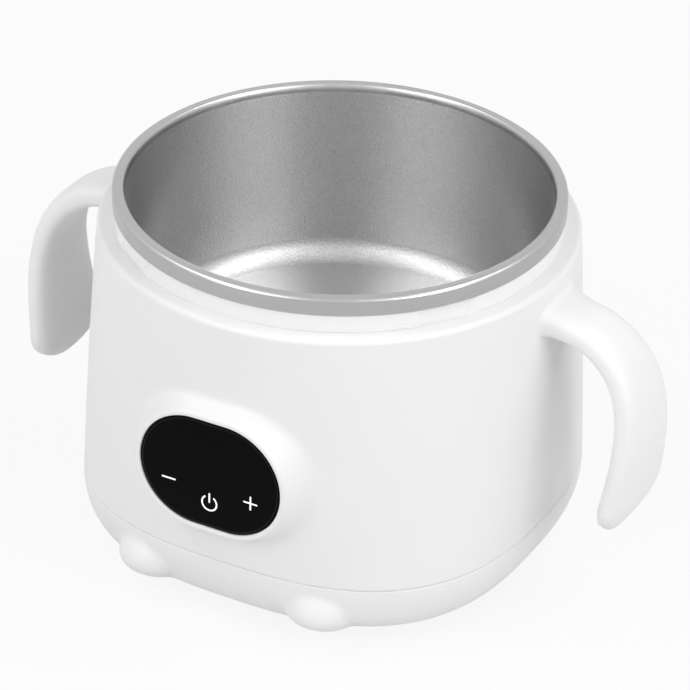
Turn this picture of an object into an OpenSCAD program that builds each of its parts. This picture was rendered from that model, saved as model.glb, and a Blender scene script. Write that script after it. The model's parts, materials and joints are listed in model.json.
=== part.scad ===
// Baby food warmer: a steel bowl that lifts out of a rounded body with two hook handles.
// The bowl axis is Z, the table is z = 0, the front faces -Y and the handles lie along X.

/* [Bowl] */
// Outer diameter of the steel rim
rim_d = 120; // [114:1:126]
// Height of the steel band under the rim
band_h = 4.9; // [4:0.1:6]
// Width of the rolled lip
lip_w = 3.4; // [3.2:0.1:4.4]
// Rounding of the lip's outer edge
lip_round = 1; // [0.8:0.1:1.4]
// Depth of the bowl inside
bowl_depth = 52.2; // [48:0.1:54]
// Inside radius between bowl wall and bowl floor
bowl_fillet = 6.5; // [5:0.5:9]
// Draft of the bowl wall in degrees
bowl_draft = 3; // [1:0.5:4]
// Thickness of the steel
steel_t = 0.6; // [0.5:0.05:0.7]
// Slack between the bowl and the liner
bowl_gap = 0.3; // [0.2:0.05:0.35]

/* [Body] */
// Gap between the table and the underside of the base
foot_drop = 4; // [3.5:0.1:5]
// Height of the base cover up to the parting line
base_h = 16.6; // [15.6:0.1:18]
// Height of the housing wall from parting line to shoulder
wall_h = 72.4; // [68:0.2:80]
// Height of the rounded shoulder
shoulder_h = 1.5; // [1.2:0.1:3]
// How far the shoulder stands out past the rim
shoulder_step = 4.1; // [3.6:0.1:6]
// Height of the bare neck between shoulder and steel band
neck_h = 5; // [4.4:0.1:8]
// How far the base draws in below the shoulder at the sides
base_draw = 0.5; // [0.2:0.1:2]
// Half depth of the base from front to rear
base_half_y = 61.5; // [60.6:0.1:64]
// Squareness of the base plan, where 2 is an oval
base_square = 2.7; // [2.5:0.1:3.2]
// How far the base cover draws in towards the table
base_inset = 10; // [8:0.5:11]
// Wall thickness of the housing and the base cover
wall_t = 2.4; // [2.2:0.1:2.6]
// Wall thickness of the liner
liner_t = 1.6; // [1.4:0.1:2]

/* [Handles] */
// Height of the handle root below the shoulder line
handle_drop = 7.8; // [5:0.1:11]
// Reach of the handle's bend past the housing
handle_out = 28.3; // [26:0.1:36]
// Reach of the handle's free tip past the housing
handle_tip = 21.4; // [18:0.1:26]
// Height from the handle's root to its tip
handle_len = 57.5; // [50:0.5:62]
// Width of the strap at its root
handle_root_w = 16.8; // [15:0.2:20]
// Width of the strap at its widest, near the tip
handle_w = 31.6; // [24:0.2:34]
// Thickness of the strap
handle_t = 7.2; // [6.4:0.2:8]
// How far the handles sit behind the bowl's axis
handle_back = 2; // [0:0.1:3]

/* [Touch panel] */
// Width of the black lens
panel_w = 41.2; // [38:0.2:44]
// Height of the black lens
panel_h = 33.4; // [31:0.2:35]
// Squareness of the lens outline, where 2 is an oval
panel_square = 2.4; // [2.2:0.1:3]
// Height of the lens centre above the table
panel_z = 50.3; // [48:0.1:54]
// Distance from the bowl axis to the front of the lens surround
panel_reach = 68; // [67:0.1:70]
// Width of the lip round the lens
surround_w = 1.1; // [0.8:0.1:2]
// How far the surround spreads as it runs into the wall
surround_flare = 7; // [5:0.5:9]
// Thickness of the lens
lens_t = 1.6; // [1.2:0.1:2]
// Distance from the middle symbol to each outer symbol
icon_step = 12.2; // [10:0.1:13]
// Stroke width of the symbols
icon_stroke = 0.7; // [0.5:0.1:1]

/* [Charging port] */
// Height of the port above the table
port_z = 33.4; // [33:0.1:38]
// How far the port surround stands out past the rear of the base
port_out = 4.7; // [4.1:0.1:6.5]
// Width of the port cover
cover_w = 18.4; // [16:0.2:20]
// Height of the port cover
cover_h = 11.2; // [10:0.2:12]
// Thickness of the port cover
cover_t = 1.8; // [1.6:0.1:2.2]
// Diameter of the cover's hinge pin
pin_d = 1; // [0.8:0.1:1.2]

/* [Heater and probe] */
// Thickness of the heating plate above its flange
plate_t = 3.2; // [2.8:0.1:4]
// Thickness of the insulation pad
pad_t = 4; // [3:0.2:4.4]
// Diameter of the probe head
probe_d = 6.8; // [6:0.2:7.4]
// Travel of the probe
probe_travel = 1.5; // [1:0.1:2]
// Wire diameter of the probe spring
spring_wire = 0.5; // [0.4:0.05:0.6]
// Curls of the probe spring
spring_curls = 5; // [4:1:6]

/* [Battery and boards] */
// Diameter of one cell
cell_d = 18.4; // [18:0.1:18.6]
// Length of one cell
cell_len = 65; // [60:0.5:66]
// Width of the main board across the handles
board_x = 64; // [62:0.5:66]
// Depth of the main board from front to rear
board_y = 52; // [50:0.5:54]
// Thickness of the circuit boards
board_t = 1.6; // [1.2:0.1:1.6]
// Height of the board above the battery cover
standoff_h = 3; // [2.6:0.1:4]

/* [Toes] */
// Radius of a moulded toe, seen from above
toe_r = 9.4; // [8:0.1:10]
// Height of a toe above its widest place
toe_up = 7.5; // [6:0.1:8]
// Height of a toe's widest place above the table
toe_z = 11.4; // [10:0.1:12.5]
// Sideways place of a toe
toe_x = 25.2; // [22:0.2:30]
// Front or rear place of a toe
toe_y = 53.2; // [50:0.2:54]
// How far the toe's foot is set back under it
foot_back = 9.7; // [8:0.1:11]
// Diameter of a rubber pad
pad_d = 6.2; // [5:0.1:6.4]

/* [Hidden] */
$fn = 96;
eps = 0.01;
segs = 64;

// Heights of the body's levels
z_part = foot_drop + base_h;
z_shoulder = z_part + wall_h;
z_neck = z_shoulder + shoulder_h;
z_rim = z_neck + neck_h + band_h;
z_floor = z_rim - bowl_depth;
z_under = z_neck - wall_t;

// Radii around the bowl axis
rim_r = rim_d / 2;
bowl_r = rim_r - lip_w;
shoulder_r = rim_r + shoulder_step;
base_half_x = shoulder_r - base_draw;
neck_r = rim_r - steel_t - bowl_gap;
neck_fit = 0.2;
shoulder_ledge = 3.4;
shoulder_in = shoulder_r - neck_r - shoulder_ledge;

// The bowl's corner circle, shared by the bowl and the liner
corner_z = z_floor + bowl_fillet;
corner_r = bowl_r - (z_rim - corner_z) * tan(bowl_draft) - bowl_fillet / cos(bowl_draft);
liner_in = steel_t + bowl_gap;
liner_out = liner_in + liner_t;
flange_t = 2;
flange_fit = 0.4;
flange_r = shoulder_r - wall_t - flange_fit;
seal_t = 1;
z_seal = z_rim - steel_t - seal_t;

// Lid lock on the neck: an upright stop and a steep ramp, four times round
lock_count = 4;
lock_turn = -41.2;
lock_out = 0.7;
lock_low = 0.5;
lock_sunk = 0.4;
stop_sweep = 1.2;
stop_h = 2.8;
ramp_from = 11;
ramp_sweep = 3.4;
ramp_w = 1.3;

// Heating stack under the bowl
plate_edge = 11;
plate_r = corner_r - plate_edge;
plate_fit = 0.3;
plate_lip = 3.3;
plate_flange_t = 1.4;
z_plate = z_floor - steel_t;
z_liner_under = z_floor - liner_out;
z_flange = z_plate - plate_t;
z_film_top = z_flange - plate_flange_t;
film_t = 0.8;
film_edge = 2.7;
film_r = plate_r - film_edge;
stack_hole_r = 9;
z_pad_top = z_film_top - film_t;
pad_over = 1.3;
pad_r = plate_r + pad_over;
z_retainer_top = z_pad_top - pad_t;
retainer_t = 1;
z_retainer = z_retainer_top - retainer_t;
retainer_r = plate_r + plate_lip + 1;
boss_r = 3.2;
boss_rim = 0.6;
boss_room = 0.8;
boss_ring = retainer_r + boss_r + boss_room;
boss_count = 3;
boss_bore_h = 7;
notch_w = 10;
notch_len = 12;
notch_in = film_r - notch_len;

// Fasteners
screw_slack = 0.05;
heater_screw_r = 1.2;
heater_head_r = 2.3;
heater_head_t = 1.6;
fuse_r = 2.2;
fuse_len = 9;
fuse_in = 3;
fuse_x = film_r - fuse_in;

// Probe in the middle of the plate
probe_r = probe_d / 2;
probe_head_h = 4;
stem_r = 1.6;
run_fit = 0.06;
sleeve_wall = 1;
sleeve_fit = 0.3;
sleeve_in = probe_r + sleeve_fit;
sleeve_out = sleeve_in + sleeve_wall;
sleeve_down = 2.7;
sleeve_floor_t = 1.5;
sleeve_flange = 2.8;
z_sleeve_floor = z_retainer - sleeve_down;
z_sleeve = z_sleeve_floor - sleeve_floor_t;
z_head = z_plate - probe_head_h;
stem_tail = probe_travel + 1;
spring_r = (stem_r + sleeve_in) / 2;
spring_rings = 8;
spring_sides = 6;
spring_seat = 0.05;
spring_low = z_sleeve_floor + spring_wire / 2 + spring_seat;
spring_high = z_head - spring_wire / 2 - spring_seat;

// Housing to base joint
tongue_t = 1.4;
tongue_h = 4;
tongue_fit = 0.2;
seal_in = 0.7;
seal_w = 1;
seal_h = 0.9;
post_in_x = 13.6;
post_in_y = 15.5;
post_x = base_half_x - base_inset - post_in_x;
post_y = base_half_y - base_inset - post_in_y;
post_r = 4;
post_sheath = 5.2;
post_h = 22;
post_rib = 2;
base_screw_r = 1.45;
base_head_r = 2.8;
base_head_t = 2.2;
base_sink = 4;
base_grip = 14;
screw_clear = 0.25;

// Battery stack on the base floor
z_base_floor = foot_drop + wall_t;
tray_t = 1.2;
tray_wall = 1.6;
cell_gap = 0.8;
tab_t = 0.2;
wire_room = 1.6;
cell_pitch = cell_d + cell_gap;
cell_z = z_base_floor + tray_t + cell_d / 2;
tray_in_x = cell_len / 2 + tab_t + wire_room;
tray_in_y = cell_pitch + cell_d / 2 + cell_gap / 2;
tray_x = tray_in_x + tray_wall;
tray_y = tray_in_y + tray_wall;
tray_share = 0.6;
tray_h = cell_d * tray_share;
lug_r = 3.8;
lug_x = tray_x + lug_r - tray_wall;
lug_y = 20;
peg_r = 2.2;
peg_h = 6;
peg_fit = 0.2;
tray_screw_r = 1.25;
tray_head_r = 2.3;
tray_head_t = 1.5;
lid_gap = 0.2;
z_lid = z_base_floor + tray_t + cell_d + lid_gap;
lid_t = 1.6;
lid_x = lug_x + lug_r;
z_lid_top = z_lid + lid_t;
tab_w = 8;

// Main board and what stands on it
z_board = z_lid_top + standoff_h;
z_board_top = z_board + board_t;
standoff_r = 3;
board_edge = 4;
board_screw_r = 1;
board_head_r = 1.9;
board_head_t = 1.4;
plug_x = 6;
plug_y = 7;
plug_h = 5;
wire_r = 0.6;
wire_sides = 8;
wire_rings = 12;
wire_step = 1.6;
plug_mid_z = z_board_top + plug_h / 2;
plug_top_z = z_board_top + plug_h;
side_plug_in = 8;
heat_plug_in = 9;
end_plug_in = 5;
side_plug_x = board_x / 2 - side_plug_in;
heat_plug_x = -board_x / 2 + heat_plug_in;
probe_plug_x = 14;
end_plug_y = board_y / 2 - end_plug_in;
wire_bend = 8;
lead_gap = 0.7;
tab_lead_x = cell_len / 2 + tab_t + wire_r;
lead_x = max(tab_lead_x, board_x / 2 + lead_gap + wire_r);
short_bend = 4;
buzzer_r = 6;
buzzer_h = 5.4;
buzzer_at = [-14, 14];
// Each chip: its place on the board, its two sides and its height
chip_list = [[-4, -8, 9, 9, 1.2], [10, -12, 7, 7, 3], [18, -16, 4, 3, 1.4],
             [-16, -14, 5, 4, 1.6], [4, 10, 5, 4, 1.4]];

// Panel stack, measured from the axis towards the front
lip_edge = 0.4;
mound_steps = 4;
mound_sides = 48;
flare_from = 25;
mound_foot = base_half_y - 0.6;
mound_root = base_half_y - 8;
inside_y = base_half_y - 12;
lens_set = 0.3;
lens_fit = 0.15;
gasket_t = 0.5;
gasket_w = 2;
pocket_wall = 1.8;
lens_y = panel_reach - lens_set;
gasket_y = lens_y - lens_t;
pocket_y = gasket_y - gasket_t;
window_y = pocket_y - pocket_wall;
touch_board_t = 1.2;
icon_depth = 0.3;
icon_drop = 3.9;
icon_len = 4.6;
power_r = 2.5;
power_drop = 3.7;
display_w = 20;
display_h = 9;
display_up = 6;
display_gap = 0.2;
display_t = gasket_t + pocket_wall - display_gap;
cable_w = 8;
cable_t = 0.6;
cable_rings = 14;
cable_up = -8;
cable_bend = 15;

// Port stack, measured from the axis towards the rear
port_reach = base_half_y + port_out;
pod_rim = 2;
pod_half_x = cover_w / 2 + pod_rim;
pod_half_z = cover_h / 2 + pod_rim;
pod_square = 4;
pod_flare = 7;
cover_fit = 0.3;
cover_sink = 0.3;
pocket_floor_y = port_reach - cover_sink - cover_t - cover_fit;
port_wall = 2.2;
port_hollow_y = pocket_floor_y - port_wall;
pin_r = pin_d / 2;
pin_run = 0.05;
pin_hold = 1.4;
pin_end = 0.1;
pin_y = port_reach - cover_sink - cover_t / 2;
pin_z = port_z - cover_h / 2 + cover_t / 2;
tab_half = 3;
tab_h = 1.2;
tab_out = 0.7;
usb_w = 8.9;
usb_h = 3.2;
usb_len = 7.3;
usb_fit = 0.25;
usb_shell = 0.4;
usb_back = 0.6;
tongue_half_t = 0.35;
tongue_in = 1;
usb_board_x = 14;
usb_board_len = 15;
usb_board_t = 1.2;
shelf_t = 2.4;
shelf_x = 16;
z_usb_board = port_z - usb_h / 2 - usb_board_t;
usb_front_y = pocket_floor_y - cover_fit;
usb_board_front = port_hollow_y - cover_fit;
usb_board_rear = usb_board_front - usb_board_len;
usb_screw_r = 0.9;
usb_head_r = 1.6;
usb_head_t = 1.2;
usb_screw_in = 3;
usb_screw_side = 2;
usb_screw_y = usb_board_rear + usb_screw_in;
usb_screw_x = usb_board_x / 2 - usb_screw_side;

// Handle root
root_z = z_shoulder - handle_drop;
root_gap = 0.1;
handle_rings = 22;
handle_sides = 20;
handle_square = 3.2;
peg_y = 5.4;
handle_peg_r = 2.4;
handle_peg_fit = 0.2;
handle_screw_r = 1.2;
handle_head_r = 3;
handle_head_t = 1.3;
handle_bore = 9;
path_sunk = 3;
bend_high = 4;
bend_low = 23.2;
handle_path = [[shoulder_r - path_sunk, handle_back, root_z],
               [shoulder_r + handle_out, handle_back, root_z - bend_high],
               [shoulder_r + handle_out, handle_back, root_z - bend_low],
               [shoulder_r + handle_tip, handle_back, root_z - handle_len]];
tip_from = 0.9;
strap_swell = 1.9;
inner_wall_r = shoulder_r - wall_t;
head_x = sqrt(pow(inner_wall_r, 2) - pow(handle_back + peg_y + handle_head_r, 2)) - root_gap;

// Toes
toe_flat = 0.8;
pad_seat = 0.8;
pad_fit = 0.1;
foot_r = 4.4;
toe_sides = 24;
toe_steps = 4;
foot_y = toe_y - foot_back;
foot_places = [[-toe_x, -foot_y], [toe_x, -foot_y], [-toe_x, foot_y], [toe_x, foot_y]];

// A point of a superellipse at an angle
function oval(a, b, n, t) =
    let (r = pow(pow(abs(cos(t)) / a, n) + pow(abs(sin(t)) / b, n), -1 / n)) [r * cos(t), r * sin(t)];
function oval_ring(a, b, n, count, phase = 0) =
    [for (i = [0 : count - 1]) oval(a, b, n, (i + phase) * 360 / count)];
function lift(pts, z) = [for (p = pts) [p[0], p[1], z]];

// The body's outline at a height, drawn in by a margin
function body_share(z) = min(1, max(0, (z_shoulder - z) / wall_h));
function body_oval(z, margin) =
    let (w = body_share(z))
    oval_ring(shoulder_r + (base_half_x - shoulder_r) * w - margin,
              shoulder_r + (base_half_y - shoulder_r) * w - margin, 2 + (base_square - 2) * w, segs);
function base_oval(margin) = oval_ring(base_half_x - margin, base_half_y - margin, base_square, segs);

// Points and directions along a cubic curve
function curve(p, s) = pow(1 - s, 3) * p[0] + 3 * s * pow(1 - s, 2) * p[1] + 3 * s * s * (1 - s) * p[2]
    + pow(s, 3) * p[3];
function curve_dir(p, s) =
    let (d = pow(1 - s, 2) * (p[1] - p[0]) + 2 * s * (1 - s) * (p[2] - p[1]) + s * s * (p[3] - p[2]))
    d / norm(d);

// A closed solid through rings of equal count, the first ring lowest and each one turning left
module loft(rings) {
    n = len(rings[0]);
    last = len(rings) - 1;
    pts = [for (r = rings) each r];
    sides = [for (k = [0 : last - 1]) for (i = [0 : n - 1])
        let (a = k * n + i, b = k * n + (i + 1) % n) each [[a, a + n, b + n], [a, b + n, b]]];
    low = [for (i = [1 : n - 2]) [0, i, i + 1]];
    high = [for (i = [1 : n - 2]) [last * n, last * n + i + 1, last * n + i]];
    polyhedron(points = pts, faces = concat(low, sides, high));
}

// A round wire along cubic curves that follow each other in the plane with this normal
module wire(runs, normal) {
    loft([for (j = [0 : len(runs) - 1]) for (k = [min(j, 1) : wire_rings])
        let (s = k / wire_rings, c = curve(runs[j], s), side = cross(normal, curve_dir(runs[j], s)))
        [for (i = [0 : wire_sides - 1])
            c + wire_r * (cos(i * 360 / wire_sides) * side + sin(i * 360 / wire_sides) * normal)]]);
}

// A screw with its head's seat at z = 0 and its shank going up
module screw(shank_r, length, head_r, head_t) {
    cylinder(r = shank_r, h = length);
    translate([0, 0, -head_t]) cylinder(r = head_r, h = head_t);
}

module box(low, high) {
    translate(low) cube(high - low);
}

// The lens outline grown by a margin, between two distances from the axis
module lens_slab(margin, near, far) {
    translate([0, -near, panel_z]) rotate([90, 0, 0]) linear_extrude(far - near)
        polygon(oval_ring(panel_w / 2 + margin, panel_h / 2 + margin, panel_square, segs));
}

// A mound on the front wall with a flat top, which spreads as it nears the wall
module mound(a, b, n, z, reach, flare) {
    depth = (reach - lip_edge - mound_foot) / cos(flare_from);
    ring = function (margin, y)
        [for (q = oval_ring(a + margin, b + margin, n, mound_sides, 0.5)) [q[0], -y, q[1] + z]];
    spread = function (t) lip_edge + flare * (1 - sin(t));
    skirt = [for (k = [0 : mound_steps]) let (t = flare_from + (90 - flare_from) * k / mound_steps)
        ring(spread(t), reach - lip_edge - depth * cos(t))];
    loft(concat([ring(spread(flare_from), mound_root)], skirt, [ring(0, reach)]));
}

// The bowl's inside in section, grown by a margin and open at the top
module cup_section(margin, top) {
    f = bowl_fillet + margin;
    r_top = bowl_r + margin / cos(bowl_draft) - (z_rim - top) * tan(bowl_draft);
    polygon([[0, z_floor - margin], [corner_r, z_floor - margin], [corner_r, corner_z],
             [corner_r + f * cos(bowl_draft), corner_z - f * sin(bowl_draft)], [r_top, top], [0, top]]);
    translate([corner_r, corner_z]) circle(r = f);
}

module rim_section() {
    z_band = z_rim - band_h;
    difference() {
        union() {
            translate([bowl_r, z_band]) square([lip_w - lip_round, band_h]);
            translate([bowl_r, z_band]) square([lip_w, band_h - lip_round]);
            translate([rim_r - lip_round, z_rim - lip_round]) circle(r = lip_round);
        }
        translate([bowl_r + steel_t, z_band - eps]) square([lip_w - 2 * steel_t, band_h - steel_t + eps]);
    }
}

module steel_bowl() {
    color("silver") rotate_extrude() {
        difference() {
            cup_section(steel_t, z_rim);
            cup_section(0, z_rim + eps);
        }
        rim_section();
    }
}

// Housing: wall and shoulder rings, then everything that is cut from them
module housing_outer() {
    wall_steps = 6;
    arc_steps = 4;
    walls = [for (k = [0 : wall_steps]) let (z = z_part + wall_h * k / wall_steps) lift(body_oval(z, 0), z)];
    arcs = [for (k = [1 : arc_steps]) let (t = 90 * k / arc_steps)
        let (r = shoulder_r - shoulder_in * (1 - cos(t))) lift(oval_ring(r, r, 2, segs),
             z_shoulder + shoulder_h * sin(t))];
    loft(concat(walls, arcs));
}

module housing_inner() {
    steps = 5;
    low = z_part - 1;
    rings = [for (k = [0 : steps]) let (z = z_part + (z_under - z_part) * k / steps)
        lift(body_oval(z, wall_t), z)];
    loft(concat([lift(body_oval(z_part, wall_t), low)], rings));
}

module post_places() {
    for (sx = [-1, 1]) for (sy = [-1, 1]) translate([sx * post_x, sy * post_y, 0]) children();
}

module housing_posts() {
    post_places() translate([0, 0, z_part]) cylinder(r = post_r, h = post_h);
    for (sx = [-1, 1]) for (sy = [-1, 1]) {
        turn = atan2(sy * post_y, sx * post_x);
        translate([sx * post_x, sy * post_y, z_part + tongue_h + 1]) rotate([0, 0, turn])
            translate([0, -post_rib / 2, 0]) cube([base_half_x / 2, post_rib, post_h - tongue_h - 2]);
    }
}

module usb_shelf() {
    box([-shelf_x / 2, usb_board_rear, z_usb_board - shelf_t], [shelf_x / 2, port_reach, z_usb_board]);
}

module outer_housing() {
    color("white") difference() {
        union() {
            housing_outer();
            mound(panel_w / 2 + surround_w, panel_h / 2 + surround_w, panel_square, panel_z, panel_reach,
                  surround_flare);
            rotate([0, 0, 180]) mound(pod_half_x, pod_half_z, pod_square, port_z, port_reach, pod_flare);
        }
        cylinder(r = 2 * base_half_x, h = z_part);
        difference() {
            housing_inner();
            housing_posts();
            usb_shelf();
        }
        translate([0, 0, z_under - eps]) cylinder(r = neck_r + neck_fit, h = wall_t + shoulder_h);
        lens_slab(lens_fit, pocket_y, panel_reach + 1);
        lens_slab(-gasket_w, inside_y, pocket_y + eps);
        box([-usb_board_x / 2 - cover_fit, inside_y, z_usb_board],
            [usb_board_x / 2 + cover_fit, port_hollow_y, port_z + usb_h / 2 + 1]);
        box([-usb_w / 2 - usb_fit, port_hollow_y - 1, port_z - usb_h / 2 - usb_fit],
            [usb_w / 2 + usb_fit, port_reach, port_z + usb_h / 2 + usb_fit]);
        box([-cover_w / 2 - cover_fit, pocket_floor_y, port_z - cover_h / 2 - cover_fit],
            [cover_w / 2 + cover_fit, port_reach + 1, port_z + cover_h / 2 + cover_fit]);
        translate([-cover_w / 2 - pin_hold, pin_y, pin_z]) rotate([0, 90, 0])
            cylinder(r = pin_r + screw_slack / 2, h = cover_w + 2 * pin_hold);
        for (sx = [-1, 1]) for (sy = [-1, 1])
            translate([sx * (inner_wall_r - 2), handle_back + sy * peg_y, root_z]) rotate([0, sx * 90, 0])
                cylinder(r = handle_peg_r + handle_peg_fit, h = wall_t + 4);
        post_places() translate([0, 0, z_part - eps])
            cylinder(r = base_screw_r + screw_slack, h = base_grip + 1);
        for (sx = [-1, 1]) translate([sx * usb_screw_x, usb_screw_y, z_usb_board - shelf_t - 1])
            cylinder(r = usb_screw_r + screw_slack, h = shelf_t + 2);
    }
}

// Lid lock: an upright stop, then a ramp that leans as it climbs the neck
module lock_ramp() {
    low_r = neck_r - lock_sunk;
    high_r = neck_r + lock_out;
    half_turn = ramp_w / neck_r * 90 / PI;
    top = z_neck + neck_h - lock_low;
    at = function (r, t, z) [r * cos(t), r * sin(t), z];
    level = function (t, z) [at(low_r, t - half_turn, z), at(high_r, t - half_turn, z),
                             at(high_r, t + half_turn, z), at(low_r, t + half_turn, z)];
    loft([level(ramp_from, z_neck + lock_low), level(ramp_from + ramp_sweep, top)]);
    rotate_extrude(angle = stop_sweep) translate([low_r, top - stop_h]) square([high_r - low_r, stop_h]);
}

module boss_places() {
    for (i = [0 : boss_count - 1]) rotate([0, 0, 90 + i * 360 / boss_count])
        translate([boss_ring, 0, 0]) children();
}

module inner_liner() {
    color("whitesmoke") {
        difference() {
            union() {
                rotate_extrude() {
                    cup_section(liner_out, z_seal);
                    translate([0, z_under - flange_t]) square([flange_r, flange_t]);
                    translate([0, z_under - flange_t]) square([neck_r, z_seal - z_under + flange_t]);
                }
                boss_places() translate([0, 0, z_retainer_top])
                    cylinder(r = boss_r, h = corner_z - z_retainer_top);
            }
            rotate_extrude() cup_section(liner_in, z_rim);
            translate([0, 0, z_liner_under - 1]) cylinder(r = plate_r + plate_fit, h = liner_t + 2);
            boss_places() translate([0, 0, z_retainer_top - eps])
                cylinder(r = heater_screw_r + screw_slack, h = boss_bore_h);
        }
        for (i = [0 : lock_count - 1]) rotate([0, 0, lock_turn + i * 360 / lock_count]) lock_ramp();
    }
}

module tube(r_out, r_in, low, high) {
    translate([0, 0, low]) difference() {
        cylinder(r = r_out, h = high - low);
        translate([0, 0, -1]) cylinder(r = r_in, h = high - low + 2);
    }
}

module liner_seal() {
    color("lightgray") tube(neck_r, bowl_r + liner_in / cos(bowl_draft), z_seal, z_rim - steel_t);
}

module heating_plate() {
    color("lightslategray") difference() {
        union() {
            translate([0, 0, z_film_top]) cylinder(r = plate_r + plate_lip, h = plate_flange_t);
            translate([0, 0, z_film_top]) cylinder(r = plate_r, h = z_plate - z_film_top);
        }
        translate([0, 0, z_film_top - 1]) cylinder(r = sleeve_out + sleeve_fit, h = z_plate - z_film_top + 2);
    }
}

module plate_seal() {
    color("gray") tube(plate_r + plate_lip, plate_r + plate_fit, z_flange, z_liner_under);
}

module heating_film() {
    color("peru") tube(film_r, stack_hole_r, z_pad_top, z_film_top);
}

// The two notches that let the wires and the fuse through
module stack_notches(low, high) {
    for (turn = [0, 180]) rotate([0, 0, turn])
        box([notch_in, -notch_w / 2, low - 1], [boss_ring, notch_w / 2, high + 1]);
}

module insulation_pad() {
    color("beige") difference() {
        tube(pad_r, stack_hole_r, z_retainer_top, z_pad_top);
        stack_notches(z_retainer_top, z_pad_top);
    }
}

module heater_retainer() {
    color("silver") difference() {
        union() {
            translate([0, 0, z_retainer]) cylinder(r = retainer_r, h = retainer_t);
            boss_places() translate([0, 0, z_retainer]) cylinder(r = boss_r + boss_rim, h = retainer_t);
            boss_places() translate([-2 * boss_r, -boss_r - boss_rim, z_retainer])
                cube([2 * boss_r, 2 * (boss_r + boss_rim), retainer_t]);
        }
        translate([0, 0, z_retainer - 1]) cylinder(r = sleeve_out + sleeve_fit, h = retainer_t + 2);
        boss_places() translate([0, 0, z_retainer - 1])
            cylinder(r = heater_screw_r + screw_clear, h = retainer_t + 2);
        stack_notches(z_retainer, z_retainer_top);
    }
}

module heater_screws() {
    color("dimgray") boss_places() translate([0, 0, z_retainer])
        screw(heater_screw_r, retainer_t + boss_bore_h - 1, heater_head_r, heater_head_t);
}

module thermal_fuse() {
    color("burlywood") translate([fuse_x, fuse_len / 2, z_pad_top - fuse_r]) rotate([90, 0, 0])
        cylinder(r = fuse_r, h = fuse_len);
}

module sensor_sleeve() {
    color("dimgray") difference() {
        union() {
            translate([0, 0, z_sleeve]) cylinder(r = sleeve_out, h = z_plate - 1 - z_sleeve);
            translate([0, 0, z_retainer - sleeve_floor_t])
                cylinder(r = sleeve_out + sleeve_flange, h = sleeve_floor_t);
        }
        translate([0, 0, z_sleeve_floor]) cylinder(r = sleeve_in, h = z_plate - z_sleeve_floor);
        translate([0, 0, z_sleeve - 1]) cylinder(r = stem_r + run_fit, h = sleeve_floor_t + 2);
    }
}

module sensor_plunger() {
    color("gainsboro") {
        translate([0, 0, z_head]) cylinder(r = probe_r, h = probe_head_h);
        translate([0, 0, z_sleeve - stem_tail]) cylinder(r = stem_r, h = z_head - z_sleeve + stem_tail + eps);
    }
}

// The spring's wire is one tube along a helix
spring_steps = spring_curls * spring_rings;
spring_pitch = (spring_high - spring_low) / spring_curls;
function helix(k) = let (t = 360 * k / spring_rings)
    [spring_r * cos(t), spring_r * sin(t), spring_low + spring_pitch * k / spring_rings];
function helix_dir(k) = let (t = 360 * k / spring_rings, run = 2 * PI * spring_r)
    [-run * sin(t), run * cos(t), spring_pitch] / norm([run, spring_pitch]);
spring_gap = min([for (i = [0 : spring_steps - spring_rings]) for (j = [i + spring_rings / 2 : spring_steps])
    norm(helix(i) - helix(j))]) - spring_wire;
echo(spring_gap = spring_gap);

module sensor_spring() {
    color("lightsteelblue") loft([for (k = [0 : spring_steps])
        let (t = 360 * k / spring_rings, out = [cos(t), sin(t), 0], up = cross(helix_dir(k), out))
        [for (i = [0 : spring_sides - 1]) let (a = i * 360 / spring_sides)
            helix(k) + spring_wire / 2 * (cos(a) * out + sin(a) * up)]]);
}

// A handle: an oval strap along its curve that widens to a paddle and is rounded off at the tip
function strap_share(s) = s < tip_from ? 1 : sqrt(max(0.02, 1 - pow((s - tip_from) / (1 - tip_from), 2)));
function strap_half_w(s) =
    (handle_root_w + (handle_w - handle_root_w) * pow(s / tip_from, strap_swell)) / 2 * strap_share(s);
function strap_half_t(s) = handle_t / 2 * strap_share(s);
function strap_ring(s) =
    let (c = curve(handle_path, s), d = curve_dir(handle_path, s), out = cross(d, [0, 1, 0]))
    [for (q = oval_ring(strap_half_w(s), strap_half_t(s), handle_square, handle_sides))
        c + q[0] * [0, 1, 0] + q[1] * out];

module handle() {
    difference() {
        union() {
            difference() {
                loft([for (k = [0 : handle_rings]) strap_ring(1 - pow(1 - k / handle_rings, 1.5))]);
                translate([0, 0, root_z - 3 * handle_t])
                    cylinder(r = shoulder_r + root_gap, h = 6 * handle_t);
            }
            for (sy = [-1, 1]) translate([head_x, handle_back + sy * peg_y, root_z]) rotate([0, 90, 0])
                cylinder(r = handle_peg_r, h = shoulder_r - head_x + 2);
        }
        for (sy = [-1, 1]) translate([head_x - 1, handle_back + sy * peg_y, root_z]) rotate([0, 90, 0])
            cylinder(r = handle_screw_r + screw_slack, h = handle_bore + 1);
    }
}

module right_handle() {
    color("white") handle();
}

module left_handle() {
    color("white") mirror([1, 0, 0]) handle();
}

module handle_screws() {
    color("dimgray") for (sx = [-1, 1]) for (sy = [-1, 1])
        translate([sx * head_x, handle_back + sy * peg_y, root_z]) rotate([0, sx * 90, 0])
            screw(handle_screw_r, handle_bore - 1, handle_head_r, handle_head_t);
}

// Symbols on the lens: a minus, a power sign and a plus, drawn in the plane of the lens
module bar(length, turn) {
    rotate(turn) square([length, icon_stroke], center = true);
}
module icon_shapes() {
    translate([-icon_step, -icon_drop]) bar(icon_len, 0);
    translate([icon_step, -icon_drop]) {
        bar(icon_len, 0);
        bar(icon_len, 90);
    }
    translate([0, -icon_drop - power_drop]) {
        difference() {
            circle(r = power_r);
            circle(r = power_r - icon_stroke);
            translate([-1, 0]) square([2, power_r + 1]);
        }
        translate([0, power_r * 0.55]) bar(power_r * 1.3, 90);
    }
}
module icon_solids(depth) {
    translate([0, -lens_y + icon_depth, panel_z]) rotate([90, 0, 0]) linear_extrude(depth) icon_shapes();
}

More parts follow.
